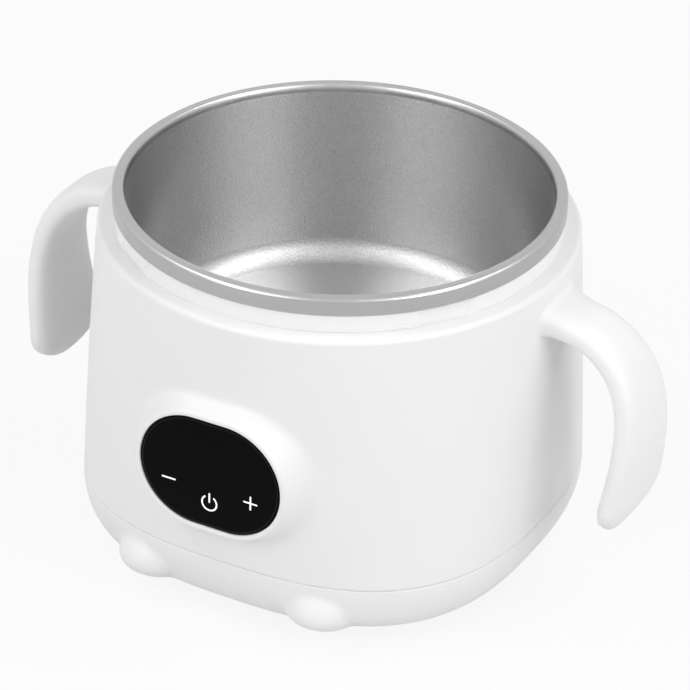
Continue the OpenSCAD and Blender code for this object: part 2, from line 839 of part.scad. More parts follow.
module touch_panel() {
    color([0.05, 0.05, 0.05]) difference() {
        lens_slab(0, gasket_y, lens_y);
        icon_solids(icon_depth + 1);
    }
}

module touch_icons() {
    color("white") icon_solids(icon_depth);
}

module panel_gasket() {
    color("dimgray") difference() {
        lens_slab(0, pocket_y, gasket_y);
        lens_slab(-gasket_w, pocket_y - 1, gasket_y + 1);
    }
}

module touch_board() {
    color("darkgreen") lens_slab(-gasket_w - lens_fit, window_y - touch_board_t, window_y);
}

module display_module() {
    color("gray") box([-display_w / 2, -window_y - display_t, panel_z + display_up - display_h / 2],
                      [display_w / 2, -window_y, panel_z + display_up + display_h / 2]);
}

// The flat cable curves from the touch board's back to the front plug of the main board
module panel_cable() {
    start_y = -window_y + touch_board_t;
    end_y = -end_plug_y - plug_y / 2;
    start_z = panel_z + cable_up;
    path = [[start_y, start_z, 0], [start_y + cable_bend, start_z, 0],
            [end_y - cable_bend, plug_mid_z, 0], [end_y, plug_mid_z, 0]];
    edge = function (side) [for (k = [0 : cable_rings]) let (s = k / cable_rings, d = curve_dir(path, s))
        let (c = curve(path, s)) [c[0] - side * d[1], c[1] + side * d[0]]];
    upper = edge(cable_t / 2);
    lower = edge(-cable_t / 2);
    color("orange") translate([-cable_w / 2, 0, 0]) rotate([90, 0, 90]) linear_extrude(cable_w)
        polygon(concat(lower, [for (i = [cable_rings : -1 : 0]) upper[i]]));
}

module board_places() {
    for (sx = [-1, 1]) for (sy = [-1, 1])
        translate([sx * (board_x / 2 - board_edge), sy * (board_y / 2 - board_edge), 0]) children();
}

module main_board() {
    color("green") difference() {
        box([-board_x / 2, -board_y / 2, z_board], [board_x / 2, board_y / 2, z_board_top]);
        board_places() translate([0, 0, z_board - 1])
            cylinder(r = board_screw_r + screw_clear, h = board_t + 2);
    }
}

module board_chips() {
    color([0.15, 0.15, 0.15]) for (c = chip_list)
        box([c[0] - c[2] / 2, c[1] - c[3] / 2, z_board_top],
            [c[0] + c[2] / 2, c[1] + c[3] / 2, z_board_top + c[4]]);
}

// Plugs: battery on the right, heater on the left, probe inside, panel at the front, charger at the rear
module plug(x, y) {
    box([x - plug_x / 2, y - plug_y / 2, z_board_top],
        [x + plug_x / 2, y + plug_y / 2, z_board_top + plug_h]);
}
module board_connectors() {
    color("ivory") {
        plug(side_plug_x, cell_pitch / 2);
        plug(heat_plug_x, 0);
        plug(probe_plug_x, 0);
        plug(0, -end_plug_y);
        plug(0, end_plug_y);
    }
}

module buzzer() {
    color([0.2, 0.2, 0.2]) translate([buzzer_at[0], buzzer_at[1], z_board_top])
        cylinder(r = buzzer_r, h = buzzer_h);
}

module board_screws() {
    color("gray") board_places() translate([0, 0, z_board_top]) mirror([0, 0, 1])
        screw(board_screw_r, board_t + standoff_h - 1, board_head_r, board_head_t);
}

module cell(row) {
    color("steelblue") translate([-cell_len / 2, row * cell_pitch, cell_z]) rotate([0, 90, 0])
        cylinder(d = cell_d, h = cell_len);
}
module front_cell() {
    cell(-1);
}
module middle_cell() {
    cell(0);
}
module rear_cell() {
    cell(1);
}

// Nickel strips that join the cells in series and bring out both poles
module tab(side, low_row, high_row) {
    x = side * (cell_len / 2 + tab_t / 2);
    box([x - tab_t / 2, low_row * cell_pitch - tab_w / 2, cell_z - tab_w / 2],
        [x + tab_t / 2, high_row * cell_pitch + tab_w / 2, cell_z + tab_w / 2]);
}
module cell_tabs() {
    color("silver") {
        tab(-1, -1, 0);
        tab(1, 0, 1);
        tab(-1, 1, 1);
        tab(1, -1, -1);
    }
}

module lug_places() {
    for (sx = [-1, 1]) for (sy = [-1, 1]) translate([sx * lug_x, sy * lug_y, 0]) children();
}

module battery_tray() {
    color("darkgray") difference() {
        union() {
            box([-tray_x, -tray_y, z_base_floor], [tray_x, tray_y, z_base_floor + tray_h]);
            lug_places() translate([0, 0, z_base_floor]) cylinder(r = lug_r, h = z_lid - z_base_floor);
        }
        box([-tray_in_x, -tray_in_y, z_base_floor + tray_t], [tray_in_x, tray_in_y, z_lid + 1]);
        lug_places() translate([0, 0, z_base_floor - eps]) cylinder(r = peg_r + peg_fit, h = peg_h + peg_fit);
        lug_places() translate([0, 0, z_base_floor]) cylinder(r = tray_screw_r + screw_clear, h = z_lid);
    }
}

module battery_cover() {
    slot_x = cell_len / 2 + tab_t;
    slot_y = wire_step + 2 * wire_r;
    color("darkgray") difference() {
        union() {
            box([-lid_x, -tray_y, z_lid], [lid_x, tray_y, z_lid_top]);
            board_places() translate([0, 0, z_lid_top - eps]) cylinder(r = standoff_r, h = standoff_h + eps);
        }
        lug_places() translate([0, 0, z_lid - 1]) cylinder(r = tray_screw_r + screw_clear, h = lid_t + 2);
        board_places() translate([0, 0, z_lid_top])
            cylinder(r = board_screw_r + screw_slack, h = standoff_h + 1);
        box([slot_x, cell_pitch / 2 - slot_y, z_lid - 1],
            [lead_x + wire_room, cell_pitch / 2 + slot_y, z_lid_top + 1]);
    }
}

module tray_screws() {
    color("gray") lug_places() translate([0, 0, z_lid_top]) mirror([0, 0, 1])
        screw(tray_screw_r, z_lid_top - z_base_floor - 1, tray_head_r, tray_head_t);
}

module battery_lead() {
    end_x = side_plug_x + plug_x / 2;
    mid_z = (cell_z + z_lid) / 2;
    color("red") for (s = [-1, 1]) {
        y = cell_pitch / 2 + s * wire_step;
        wire([[[tab_lead_x, y, cell_z], [tab_lead_x, y, mid_z], [lead_x, y, mid_z], [lead_x, y, z_lid]],
              [[lead_x, y, z_lid], [lead_x, y, plug_mid_z], [end_x + wire_bend, y, plug_mid_z],
               [end_x, y, plug_mid_z]]], [0, 1, 0]);
    }
}

module heater_leads() {
    top_x = -notch_in - fuse_in;
    color("crimson") for (s = [-1, 1]) {
        y = s * wire_step;
        wire([[[top_x, y, z_pad_top], [top_x, y, z_pad_top - wire_bend],
               [heat_plug_x, y, plug_top_z + wire_bend], [heat_plug_x, y, plug_top_z]]], [0, 1, 0]);
    }
}

module sensor_lead() {
    x = (stem_r + sleeve_out + sleeve_fit) / 2;
    color("gold") wire([[[x, 0, z_sleeve], [x, 0, z_sleeve - short_bend],
                         [probe_plug_x, 0, plug_top_z + short_bend],
                         [probe_plug_x, 0, plug_top_z]]], [0, 1, 0]);
}

module charge_lead() {
    start_z = z_usb_board + usb_board_t / 2;
    end_y = end_plug_y + plug_y / 2;
    color("black") for (s = [-1, 1]) {
        x = s * wire_step;
        wire([[[x, usb_board_rear, start_z], [x, usb_board_rear - wire_bend, start_z],
               [x, end_y + wire_bend, plug_mid_z], [x, end_y, plug_mid_z]]], [1, 0, 0]);
    }
}

module usb_board() {
    color("darkgreen") difference() {
        box([-usb_board_x / 2, usb_board_rear, z_usb_board],
            [usb_board_x / 2, usb_board_front, z_usb_board + usb_board_t]);
        for (sx = [-1, 1]) translate([sx * usb_screw_x, usb_screw_y, z_usb_board - 1])
            cylinder(r = usb_screw_r + screw_clear, h = usb_board_t + 2);
    }
}

module usb_socket() {
    round_r = usb_h / 2;
    color("silver") translate([0, usb_front_y, port_z]) rotate([90, 0, 0]) difference() {
        linear_extrude(usb_len) socket_outline(0);
        translate([0, 0, -1]) linear_extrude(usb_len + 1 - usb_back) socket_outline(usb_shell);
    }
    color("black") box([-usb_w / 2 + round_r, usb_front_y - usb_len + usb_back / 2, port_z - tongue_half_t],
                       [usb_w / 2 - round_r, usb_front_y - tongue_in, port_z + tongue_half_t]);
}
module socket_outline(margin) {
    r = usb_h / 2 - margin;
    x = usb_w / 2 - usb_h / 2;
    square([2 * x, 2 * r], center = true);
    for (s = [-1, 1]) translate([s * x, 0]) circle(r = r);
}

module usb_screws() {
    color("gray") for (sx = [-1, 1]) translate([sx * usb_screw_x, usb_screw_y, z_usb_board + usb_board_t])
        mirror([0, 0, 1]) screw(usb_screw_r, usb_board_t + shelf_t - 0.2, usb_head_r, usb_head_t);
}

module port_cover() {
    front = port_reach - cover_sink;
    color("white") difference() {
        union() {
            box([-cover_w / 2, front - cover_t, pin_z], [cover_w / 2, front, port_z + cover_h / 2]);
            translate([-cover_w / 2, pin_y, pin_z]) rotate([0, 90, 0]) cylinder(d = cover_t, h = cover_w);
            box([-tab_half, front - eps, port_z + cover_h / 2 - tab_h],
                [tab_half, front + tab_out, port_z + cover_h / 2]);
        }
        translate([-cover_w / 2 - 1, pin_y, pin_z]) rotate([0, 90, 0])
            cylinder(r = pin_r + pin_run, h = cover_w + 2);
    }
}

module cover_pin() {
    color("silver") translate([-cover_w / 2 - pin_hold + pin_end, pin_y, pin_z]) rotate([0, 90, 0])
        cylinder(r = pin_r, h = cover_w + 2 * (pin_hold - pin_end));
}

// Base cover: curves in from the parting line to the table
module base_shape(margin, drop) {
    steps = 7;
    loft([for (k = [0 : steps]) let (t = 90 * (1 - k / steps))
        lift(base_oval(margin + base_inset * (1 - cos(t))), z_part - drop * sin(t))]);
}

module parting_ring(outer, inner, low, high) {
    translate([0, 0, low]) linear_extrude(high - low) difference() {
        polygon(base_oval(outer));
        polygon(base_oval(inner));
    }
}

module foot_places() {
    for (p = foot_places) translate([p[0], p[1], 0]) children();
}

// A toe bulges from the side of the base and runs back under it to its foot
module toe() {
    low = [for (k = [0 : toe_steps]) let (t = 90 * k / toe_steps)
        let (r = foot_r + (toe_r - foot_r) * sin(t))
        [for (q = oval_ring(r, r, 2, toe_sides))
            [q[0], q[1] - foot_back * sin(t), toe_flat + (toe_z - toe_flat) * k / toe_steps]]];
    high = [for (k = [1 : toe_steps]) let (t = 88 * k / toe_steps)
        [for (q = oval_ring(toe_r * cos(t), toe_r * cos(t), 2, toe_sides))
            [q[0], q[1] - foot_back, toe_z + toe_up * sin(t)]]];
    loft(concat(low, high));
}

module base_cover() {
    tongue_out = wall_t + tongue_fit;
    color("white") difference() {
        union() {
            difference() {
                union() {
                    base_shape(0, base_h);
                    for (p = foot_places) translate([p[0], p[1], 0]) rotate([0, 0, p[1] > 0 ? 180 : 0]) toe();
                }
                base_shape(wall_t, base_h - wall_t);
                translate([0, 0, z_part]) cylinder(r = 2 * base_half_x, h = base_h);
            }
            parting_ring(tongue_out, tongue_out + tongue_t, z_part - 3, z_part + tongue_h);
            post_places() translate([0, 0, foot_drop + eps]) cylinder(r = post_sheath, h = base_h - eps);
            lug_places() translate([0, 0, z_base_floor - eps]) cylinder(r = peg_r, h = peg_h + eps);
        }
        translate([0, 0, toe_flat - 10]) cylinder(r = 2 * base_half_x, h = 10);
        foot_places() translate([0, 0, toe_flat - eps])
            cylinder(d = pad_d + 2 * pad_fit, h = pad_seat + eps);
        post_places() {
            translate([0, 0, foot_drop - 1]) cylinder(r = base_head_r + screw_clear, h = base_sink + 1);
            translate([0, 0, foot_drop]) cylinder(r = base_screw_r + screw_clear, h = base_h + 1);
        }
        lug_places() translate([0, 0, z_base_floor]) cylinder(r = tray_screw_r + screw_slack, h = peg_h + 1);
        parting_ring(seal_in, seal_in + seal_w, z_part - seal_h, z_part + 1);
    }
}

module base_seal() {
    color("gray") parting_ring(seal_in, seal_in + seal_w, z_part - seal_h, z_part);
}

module base_screws() {
    color("dimgray") post_places() translate([0, 0, foot_drop + base_sink])
        screw(base_screw_r, z_part - foot_drop - base_sink + base_grip, base_head_r, base_head_t);
}

module toe_pad(place) {
    color("lightgray") translate([place[0], place[1], 0]) cylinder(d = pad_d, h = toe_flat + pad_seat);
}
module front_left_pad() {
    toe_pad(foot_places[0]);
}
module front_right_pad() {
    toe_pad(foot_places[1]);
}
module rear_left_pad() {
    toe_pad(foot_places[2]);
}
module rear_right_pad() {
    toe_pad(foot_places[3]);
}

steel_bowl();
outer_housing();
inner_liner();
liner_seal();
heating_plate();
plate_seal();
heating_film();
insulation_pad();
heater_retainer();
heater_screws();
thermal_fuse();
sensor_sleeve();
sensor_plunger();
sensor_spring();
left_handle();
right_handle();
handle_screws();
touch_panel();
touch_icons();
panel_gasket();
touch_board();
display_module();
panel_cable();
main_board();
board_chips();
board_connectors();
buzzer();
board_screws();
front_cell();
middle_cell();
rear_cell();
cell_tabs();
battery_tray();
battery_cover();
tray_screws();
battery_lead();
heater_leads();
sensor_lead();
charge_lead();
usb_board();
usb_socket();
usb_screws();
port_cover();
cover_pin();
base_cover();
base_seal();
base_screws();
front_left_pad();
front_right_pad();
rear_left_pad();
rear_right_pad();
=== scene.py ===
import bpy
import bmesh
import json
import math
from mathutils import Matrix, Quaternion, Vector


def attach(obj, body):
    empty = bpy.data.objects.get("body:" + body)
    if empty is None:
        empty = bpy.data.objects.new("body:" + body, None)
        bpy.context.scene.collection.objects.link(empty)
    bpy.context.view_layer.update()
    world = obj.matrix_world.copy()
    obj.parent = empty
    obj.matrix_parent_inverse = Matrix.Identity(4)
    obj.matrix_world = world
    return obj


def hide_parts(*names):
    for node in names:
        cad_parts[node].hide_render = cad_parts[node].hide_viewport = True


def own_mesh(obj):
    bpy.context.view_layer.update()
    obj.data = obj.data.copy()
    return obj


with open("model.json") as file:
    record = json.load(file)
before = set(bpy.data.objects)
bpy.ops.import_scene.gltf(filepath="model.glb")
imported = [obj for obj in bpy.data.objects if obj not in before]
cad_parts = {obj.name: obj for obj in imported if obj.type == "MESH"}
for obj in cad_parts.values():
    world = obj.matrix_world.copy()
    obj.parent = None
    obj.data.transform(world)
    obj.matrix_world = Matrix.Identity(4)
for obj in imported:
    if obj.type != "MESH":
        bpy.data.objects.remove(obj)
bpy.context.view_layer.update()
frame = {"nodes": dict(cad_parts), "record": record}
scene = bpy.context.scene
mm = 0.001
print("frame loaded:", len(frame["nodes"]), "nodes")


# camera first: the angle, roll and framing of the photograph
cameraSetup = {
    "azimuth": 28.112, "elevation": 30.958, "roll": 1.34,
    "target": (0.0, 0.0, 50.0), "distance": 1200.0,
    "moveRight": 2.22, "moveUp": 4.51,
    "lens": 232.6, "sensor": 36.0,
}


def setCamera(setup):
    az, el = math.radians(setup["azimuth"]), math.radians(setup["elevation"])
    back = Vector((math.sin(az) * math.cos(el), -math.cos(az) * math.cos(el), math.sin(el)))
    right = Vector((math.cos(az), math.sin(az), 0))
    up = back.cross(right)
    data = bpy.data.cameras.new("photoCamera")
    data.lens, data.sensor_width = setup["lens"], setup["sensor"]
    data.clip_start, data.clip_end = 0.05, 20
    eye = bpy.data.objects.new("photoCamera", data)
    aim = Vector(setup["target"]) + right * setup["moveRight"] + up * setup["moveUp"]
    eye.location = (aim + back * setup["distance"]) * mm
    eye.rotation_mode = "QUATERNION"
    turn = Quaternion((0, 0, 1), math.radians(setup["roll"]))
    eye.rotation_quaternion = (-back).to_track_quat("-Z", "Y") @ turn
    scene.collection.objects.link(eye)
    scene.camera = eye


setCamera(cameraSetup)
print("camera set")


# mesh helpers; shapes are worked out in millimetres and stored in metres
def oval(halfX, halfY, power, turn):
    c, s = math.cos(turn), math.sin(turn)
    reach = (abs(c / halfX) ** power + abs(s / halfY) ** power) ** (-1 / power)
    return reach * c, reach * s


def roundEnded(halfX, halfY, power, turn):
    c, s = math.cos(turn), math.sin(turn)
    flat = halfX - halfY                       # straight top and bottom between two half circles
    if abs(c) * halfY <= flat * abs(s):
        reach = halfY / abs(s)
    else:
        reach = flat * abs(c) + math.sqrt(halfY ** 2 - (flat * s) ** 2)
    return reach * c, reach * s


def smoothMax(a, b, reach):
    near = max(reach - abs(a - b), 0) / reach
    return max(a, b) + near * near * reach / 4


def smoothStep(low, high, value):
    t = min(1, max(0, (value - low) / (high - low)))
    return t * t * (3 - 2 * t)


def arc(centreR, centreZ, radius, start, end, steps):
    turns = [math.radians(start + (end - start) * k / steps) for k in range(steps + 1)]
    return [(centreR + radius * math.cos(t), centreZ + radius * math.sin(t)) for t in turns]


def fullTurn(count):
    return [2 * math.pi * k / count for k in range(count)]


def circle(centreX, centreY, radius, count):
    return [(centreX + radius * math.cos(t), centreY + radius * math.sin(t)) for t in fullTurn(count)]


def makePiece(name, points, faces, finishes, body, stands=(), slot=None, sharp=35):
    mesh = bpy.data.meshes.new(name)
    mesh.from_pydata([(p[0] * mm, p[1] * mm, p[2] * mm) for p in points], [], faces)
    work = bmesh.new()
    work.from_mesh(mesh)
    bmesh.ops.remove_doubles(work, verts=work.verts, dist=1e-7)
    bmesh.ops.dissolve_degenerate(work, edges=work.edges, dist=1e-8)
    bmesh.ops.recalc_face_normals(work, faces=work.faces)
    for face in work.faces:
        face.smooth = True
    work.to_mesh(mesh)
    work.free()
    mesh.set_sharp_from_angle(angle=math.radians(sharp))
    for finish in finishes if isinstance(finishes, list) else [finishes]:
        mesh.materials.append(finish)
    piece = bpy.data.objects.new(name, mesh)
    scene.collection.objects.link(piece)
    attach(piece, body)
    if stands:
        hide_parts(*stands)
    return piece


def lathe(profile, columns, closed=True):
    points, faces = [], []
    count = len(profile)
    for t in fullTurn(columns):
        points += [(r * math.cos(t), r * math.sin(t), z) for r, z in profile]
    for i in range(columns):
        a, b = i * count, (i + 1) % columns * count
        for j in range(count if closed else count - 1):
            k = (j + 1) % count
            faces.append((a + j, b + j, b + k, a + k))
    return points, faces


def loft(rings, capLow=True, capHigh=True):
    count = len(rings[0])
    points = [p for ring in rings for p in ring]
    faces = []
    for k in range(len(rings) - 1):
        for i in range(count):
            a, b = k * count + i, k * count + (i + 1) % count
            faces.append((a, b, b + count, a + count))
    if capLow:
        faces.append(tuple(range(count)))
    if capHigh:
        faces.append(tuple(range(len(points) - count, len(points))))
    return points, faces


def joined(*shapes):
    points, faces = [], []
    for shapePoints, shapeFaces in shapes:
        base = len(points)
        points += shapePoints
        faces += [tuple(v + base for v in f) for f in shapeFaces]
    return points, faces


def moved(shape, place):
    return [tuple(a + b for a, b in zip(p, place)) for p in shape[0]], shape[1]


# finishes, all from nodes: broad colour drift, roughness drift and a fine grain
def mixNode(nodes, links, factor, low, high):
    mix = nodes.new("ShaderNodeMix")
    mix.data_type = "RGBA"
    links.new(factor, mix.inputs["Factor"])
    mix.inputs[6].default_value = (*low, 1)    # sockets 6 and 7 are the two colours, output 2 their mix
    mix.inputs[7].default_value = (*high, 1)
    return mix.outputs[2]


def rangeNode(nodes, links, value, low, high):
    node = nodes.new("ShaderNodeMapRange")
    links.new(value, node.inputs["Value"])
    node.inputs["From Min"].default_value = 0.3    # nearly all of the noise lies between these two
    node.inputs["From Max"].default_value = 0.7
    node.inputs["To Min"].default_value = low
    node.inputs["To Max"].default_value = high
    return node.outputs["Result"]


def noiseNode(nodes, links, coords, scale, detail=2.0):
    node = nodes.new("ShaderNodeTexNoise")
    node.inputs["Scale"].default_value = scale
    node.inputs["Detail"].default_value = detail
    links.new(coords, node.inputs["Vector"])
    return node.outputs["Fac"]


def makeFinish(name, look):
    finish = bpy.data.materials.new(name)
    finish.use_nodes = True
    nodes, links = finish.node_tree.nodes, finish.node_tree.links
    shader = nodes["Principled BSDF"]
    coords = nodes.new("ShaderNodeTexCoord").outputs["Object"]
    if "stretch" in look:                      # grain drawn out along one axis
        mapping = nodes.new("ShaderNodeMapping")
        mapping.inputs["Scale"].default_value = look["stretch"]
        links.new(coords, mapping.inputs["Vector"])
        coords = mapping.outputs["Vector"]
    drift = noiseNode(nodes, links, coords, look.get("driftScale", 45))
    grain = noiseNode(nodes, links, coords, look.get("grainScale", 2200), 3.0)
    links.new(mixNode(nodes, links, drift, look["low"], look["high"]), shader.inputs["Base Color"])
    rough = noiseNode(nodes, links, coords, look.get("roughScale", 160), 3.0)
    links.new(rangeNode(nodes, links, rough, *look["rough"]), shader.inputs["Roughness"])
    bump = nodes.new("ShaderNodeBump")
    bump.inputs["Strength"].default_value = look.get("bump", 0.1)
    bump.inputs["Distance"].default_value = look.get("bumpDepth", 0.00005)
    links.new(grain, bump.inputs["Height"])
    links.new(bump.outputs["Normal"], shader.inputs["Normal"])
    shader.inputs["Metallic"].default_value = look.get("metal", 0.0)
    shader.inputs["Specular IOR Level"].default_value = look.get("specular", 0.5)
    shader.inputs["Coat Weight"].default_value = look.get("coat", 0.0)
    shader.inputs["Subsurface Weight"].default_value = look.get("subsurface", 0.0)
    shader.inputs["Subsurface Radius"].default_value = (0.002, 0.002, 0.002)
    if look.get("spun"):                       # fine turning lines round the axis spread the shine up and down
        tangent = nodes.new("ShaderNodeTangent")
        tangent.direction_type, tangent.axis = "RADIAL", "Z"
        links.new(tangent.outputs["Tangent"], shader.inputs["Tangent"])
        shader.inputs["Anisotropic"].default_value = look["spun"]
        shader.inputs["Anisotropic Rotation"].default_value = 0.25
    # painted glow: the piece gives off light of its own colour, though no lamp is in it
    if look.get("glow"):
        shader.inputs["Emission Color"].default_value = (*look["high"], 1)
        shader.inputs["Emission Strength"].default_value = look["glow"]
    return finish


whiteShell = makeFinish("whiteShell", {
    "low": (0.80, 0.80, 0.80), "high": (0.825, 0.825, 0.828), "rough": (0.44, 0.54),
    "grainScale": 2000, "bump": 0.12, "bumpDepth": 0.00005, "specular": 0.35})
whiteLiner = makeFinish("whiteLiner", {
    "low": (0.85, 0.85, 0.85), "high": (0.87, 0.87, 0.872), "rough": (0.3, 0.38),
    "grainScale": 1800, "bump": 0.04, "bumpDepth": 0.00004, "specular": 0.4})
bowlSteel = makeFinish("bowlSteel", {
    "low": (0.40, 0.40, 0.40), "high": (0.75, 0.75, 0.75), "rough": (0.28, 0.33), "metal": 1.0, "spun": 0.85,
    "grainScale": 1900, "bump": 0.7, "bumpDepth": 0.0001, "driftScale": 2400, "roughScale": 1500})
floorSteel = makeFinish("floorSteel", {
    "low": (0.36, 0.36, 0.36), "high": (0.62, 0.62, 0.62), "rough": (0.40, 0.46), "metal": 1.0, "spun": 1.0,
    "grainScale": 2300, "bump": 0.6, "bumpDepth": 0.00008, "driftScale": 2400, "roughScale": 1500})
cornerSteel = makeFinish("cornerSteel", {
    "low": (0.33, 0.33, 0.33), "high": (0.70, 0.70, 0.70), "rough": (0.38, 0.44), "metal": 1.0, "spun": 0.5,
    "grainScale": 2300, "bump": 1.0, "bumpDepth": 0.0001, "driftScale": 2400, "roughScale": 1500})
rimSteel = makeFinish("rimSteel", {
    "low": (0.425, 0.425, 0.425), "high": (0.475, 0.475, 0.475), "rough": (0.28, 0.36), "metal": 1.0,
    "grainScale": 1300, "bump": 0.5, "bumpDepth": 0.00006})
blackLens = makeFinish("blackLens", {
    "low": (0.0024, 0.0024, 0.0024), "high": (0.0034, 0.0034, 0.0036), "rough": (0.1, 0.18), "specular": 0.03,
    "grainScale": 900, "bump": 0.01, "bumpDepth": 0.00001})
lensEdge = makeFinish("lensEdge", {
    "low": (0.003, 0.003, 0.003), "high": (0.005, 0.005, 0.005), "rough": (0.1, 0.16), "specular": 0.2,
    "bump": 0.01, "bumpDepth": 0.00001})
# the symbols glow faintly, a painted glow that brightens them; no lamp lights them
symbolWhite = makeFinish("symbolWhite", {
    "low": (0.9, 0.9, 0.9), "high": (0.95, 0.95, 0.95), "rough": (0.35, 0.45), "glow": 0.35})
padRubber = makeFinish("padRubber", {
    "low": (0.70, 0.70, 0.69), "high": (0.76, 0.76, 0.75), "rough": (0.6, 0.75), "subsurface": 0.1,
    "grainScale": 1400, "bump": 0.25})
turnedPlate = makeFinish("turnedPlate", {
    "low": (0.62, 0.62, 0.63), "high": (0.72, 0.72, 0.73), "rough": (0.28, 0.4), "metal": 1.0,
    "stretch": (1, 1, 4), "grainScale": 1900, "bump": 0.25})
zincScrew = makeFinish("zincScrew", {
    "low": (0.55, 0.55, 0.54), "high": (0.66, 0.66, 0.64), "rough": (0.25, 0.4), "metal": 1.0,
    "driftScale": 400, "bump": 0.2})
print("main finishes made")

# inner pieces take their colour from the record, with grain and drift by class
classLook = {
    "matte_plastic": {"rough": (0.45, 0.6), "bump": 0.15},
    "rubber": {"rough": (0.6, 0.75), "bump": 0.3, "grainScale": 1400},
    "fabric": {"rough": (0.85, 0.95), "bump": 0.8, "grainScale": 900, "bumpDepth": 0.0003},
    "aluminium": {"rough": (0.3, 0.42), "metal": 1.0, "bump": 0.15},
    "chrome": {"rough": (0.08, 0.16), "metal": 1.0, "bump": 0.05},
}
ready = {"white_shell": whiteShell, "white_liner": whiteLiner, "bowl_steel": bowlSteel, "black_lens": blackLens,
         "symbol_white": symbolWhite, "zinc_steel": zincScrew, "cast_aluminium": turnedPlate}
for slotRow in frame["record"]["materials"]:
    if slotRow["slot"] not in ready:
        colour = slotRow["base_color"]
        look = dict(classLook[slotRow["class"]])
        if slotRow["slot"] == "cell_wrap":     # a shrink sleeve, so not bare metal
            look.update({"metal": 0.0, "rough": (0.25, 0.35), "coat": 0.3})
        look["low"], look["high"] = [c * 0.88 for c in colour], [min(1, c * 1.08) for c in colour]
        ready[slotRow["slot"]] = makeFinish(slotRow["slot"], look)
for subpart in frame["record"]["subparts"]:
    mesh = frame["nodes"][subpart["node"]].data
    mesh.materials.clear()
    mesh.materials.append(ready[subpart["material_slot"]])
print("inner finishes made:", len(ready))


# the outer housing: wall, shoulder, inner face, and two raised surrounds set into the grid
housing = {
    "zPart": 20.6, "zShoulder": 93.0, "zTop": 94.5, "shoulderR": 64.1, "shoulderIn": 1.6, "holeR": 59.16,
    "baseX": 63.6, "baseY": 61.5, "baseSquare": 2.7, "wall": 2.4, "underShoulder": 0.9,
    "columns": 180, "rowLow": 21.6, "rowStep": 2.15, "rowCount": 33, "gridEase": (0.62, 0.3),
    "partEdge": ((0.0, 0.4), (0.1, 0.14), (0.4, 0.0)),      # up from the parting line, in from the wall
    "holeEdge": ((0.2, 0.0), (0.05, 0.04), (0.0, 0.16)),    # out from the hole, down from the top
}
panel = {
    "form": roundEnded, "halfX": 20.75, "halfZ": 15.95, "square": 2.0, "z": 50.85, "face": 68.0,
    "pocket": 65.6, "fit": 0.15, "ledge": 2.0, "edge": ((0.55, 0.0), (0.33, 0.06), (0.2, 0.22), (0.15, 0.6)),
    "lip": 1.1, "slope": 2.5, "round": 0.8, "fillet": 3.5, "columns": (119, 151), "rows": (1, 28),
    "steps": (8.6, 7.2, 6.0, 5.0, 4.2, 3.5, 2.9, 2.4, 2.0, 1.65, 1.35, 1.1),
}
port = {
    "form": oval, "halfX": 11.2, "halfZ": 7.6, "square": 4.0, "z": 33.4, "face": 66.2, "pocket": 63.8, "lip": -0.4,
    "slope": 2.2, "round": 0.6, "fillet": 2.5, "columns": (34, 56), "rows": (0, 13),
    "steps": (4.6, 3.7, 2.9, 2.2, 1.6, 1.1, 0.7, 0.35, 0.0, -0.4),
    "pocketX": 9.5, "pocketZ": 5.9, "pocketSquare": 9.0, "edge": ((0.4, 0.0), (0.12, 0.08), (0.0, 0.35)),
    "holeX": 4.7, "holeZ": 1.85, "holeSquare": 5.0, "holeFlare": 4.0,
    "holeEdge": ((0.9, 0.0), (0.15, 0.0), (0.0, 0.15)),
}


def wallShape(z, margin=0.0):
    h = housing
    share = min(1, max(0, (h["zShoulder"] - z) / (h["zShoulder"] - h["zPart"])))
    halfX = h["shoulderR"] + (h["baseX"] - h["shoulderR"]) * share - margin
    halfY = h["shoulderR"] + (h["baseY"] - h["shoulderR"]) * share - margin
    return halfX, halfY, 2 + (h["baseSquare"] - 2) * share


def wallPoint(turn, z, margin=0.0):
    x, y = oval(*wallShape(z, margin), turn)
    return x, y, z


def wallDepth(x, z, margin=0.0):
    halfX, halfY, power = wallShape(z, margin)
    return halfY * max(0, 1 - (abs(x) / halfX) ** power) ** (1 / power)


def wallSide(y, z):
    halfX, halfY, power = wallShape(z)
    return halfX * max(0, 1 - (abs(y) / halfY) ** power) ** (1 / power)


def raisedDepth(x, z, out, shape):
    over = max(0, out - shape["lip"])
    drop = shape["slope"] * (math.hypot(over, shape["round"]) - shape["round"])
    return smoothMax(wallDepth(x, z), shape["face"] - drop, shape["fillet"])


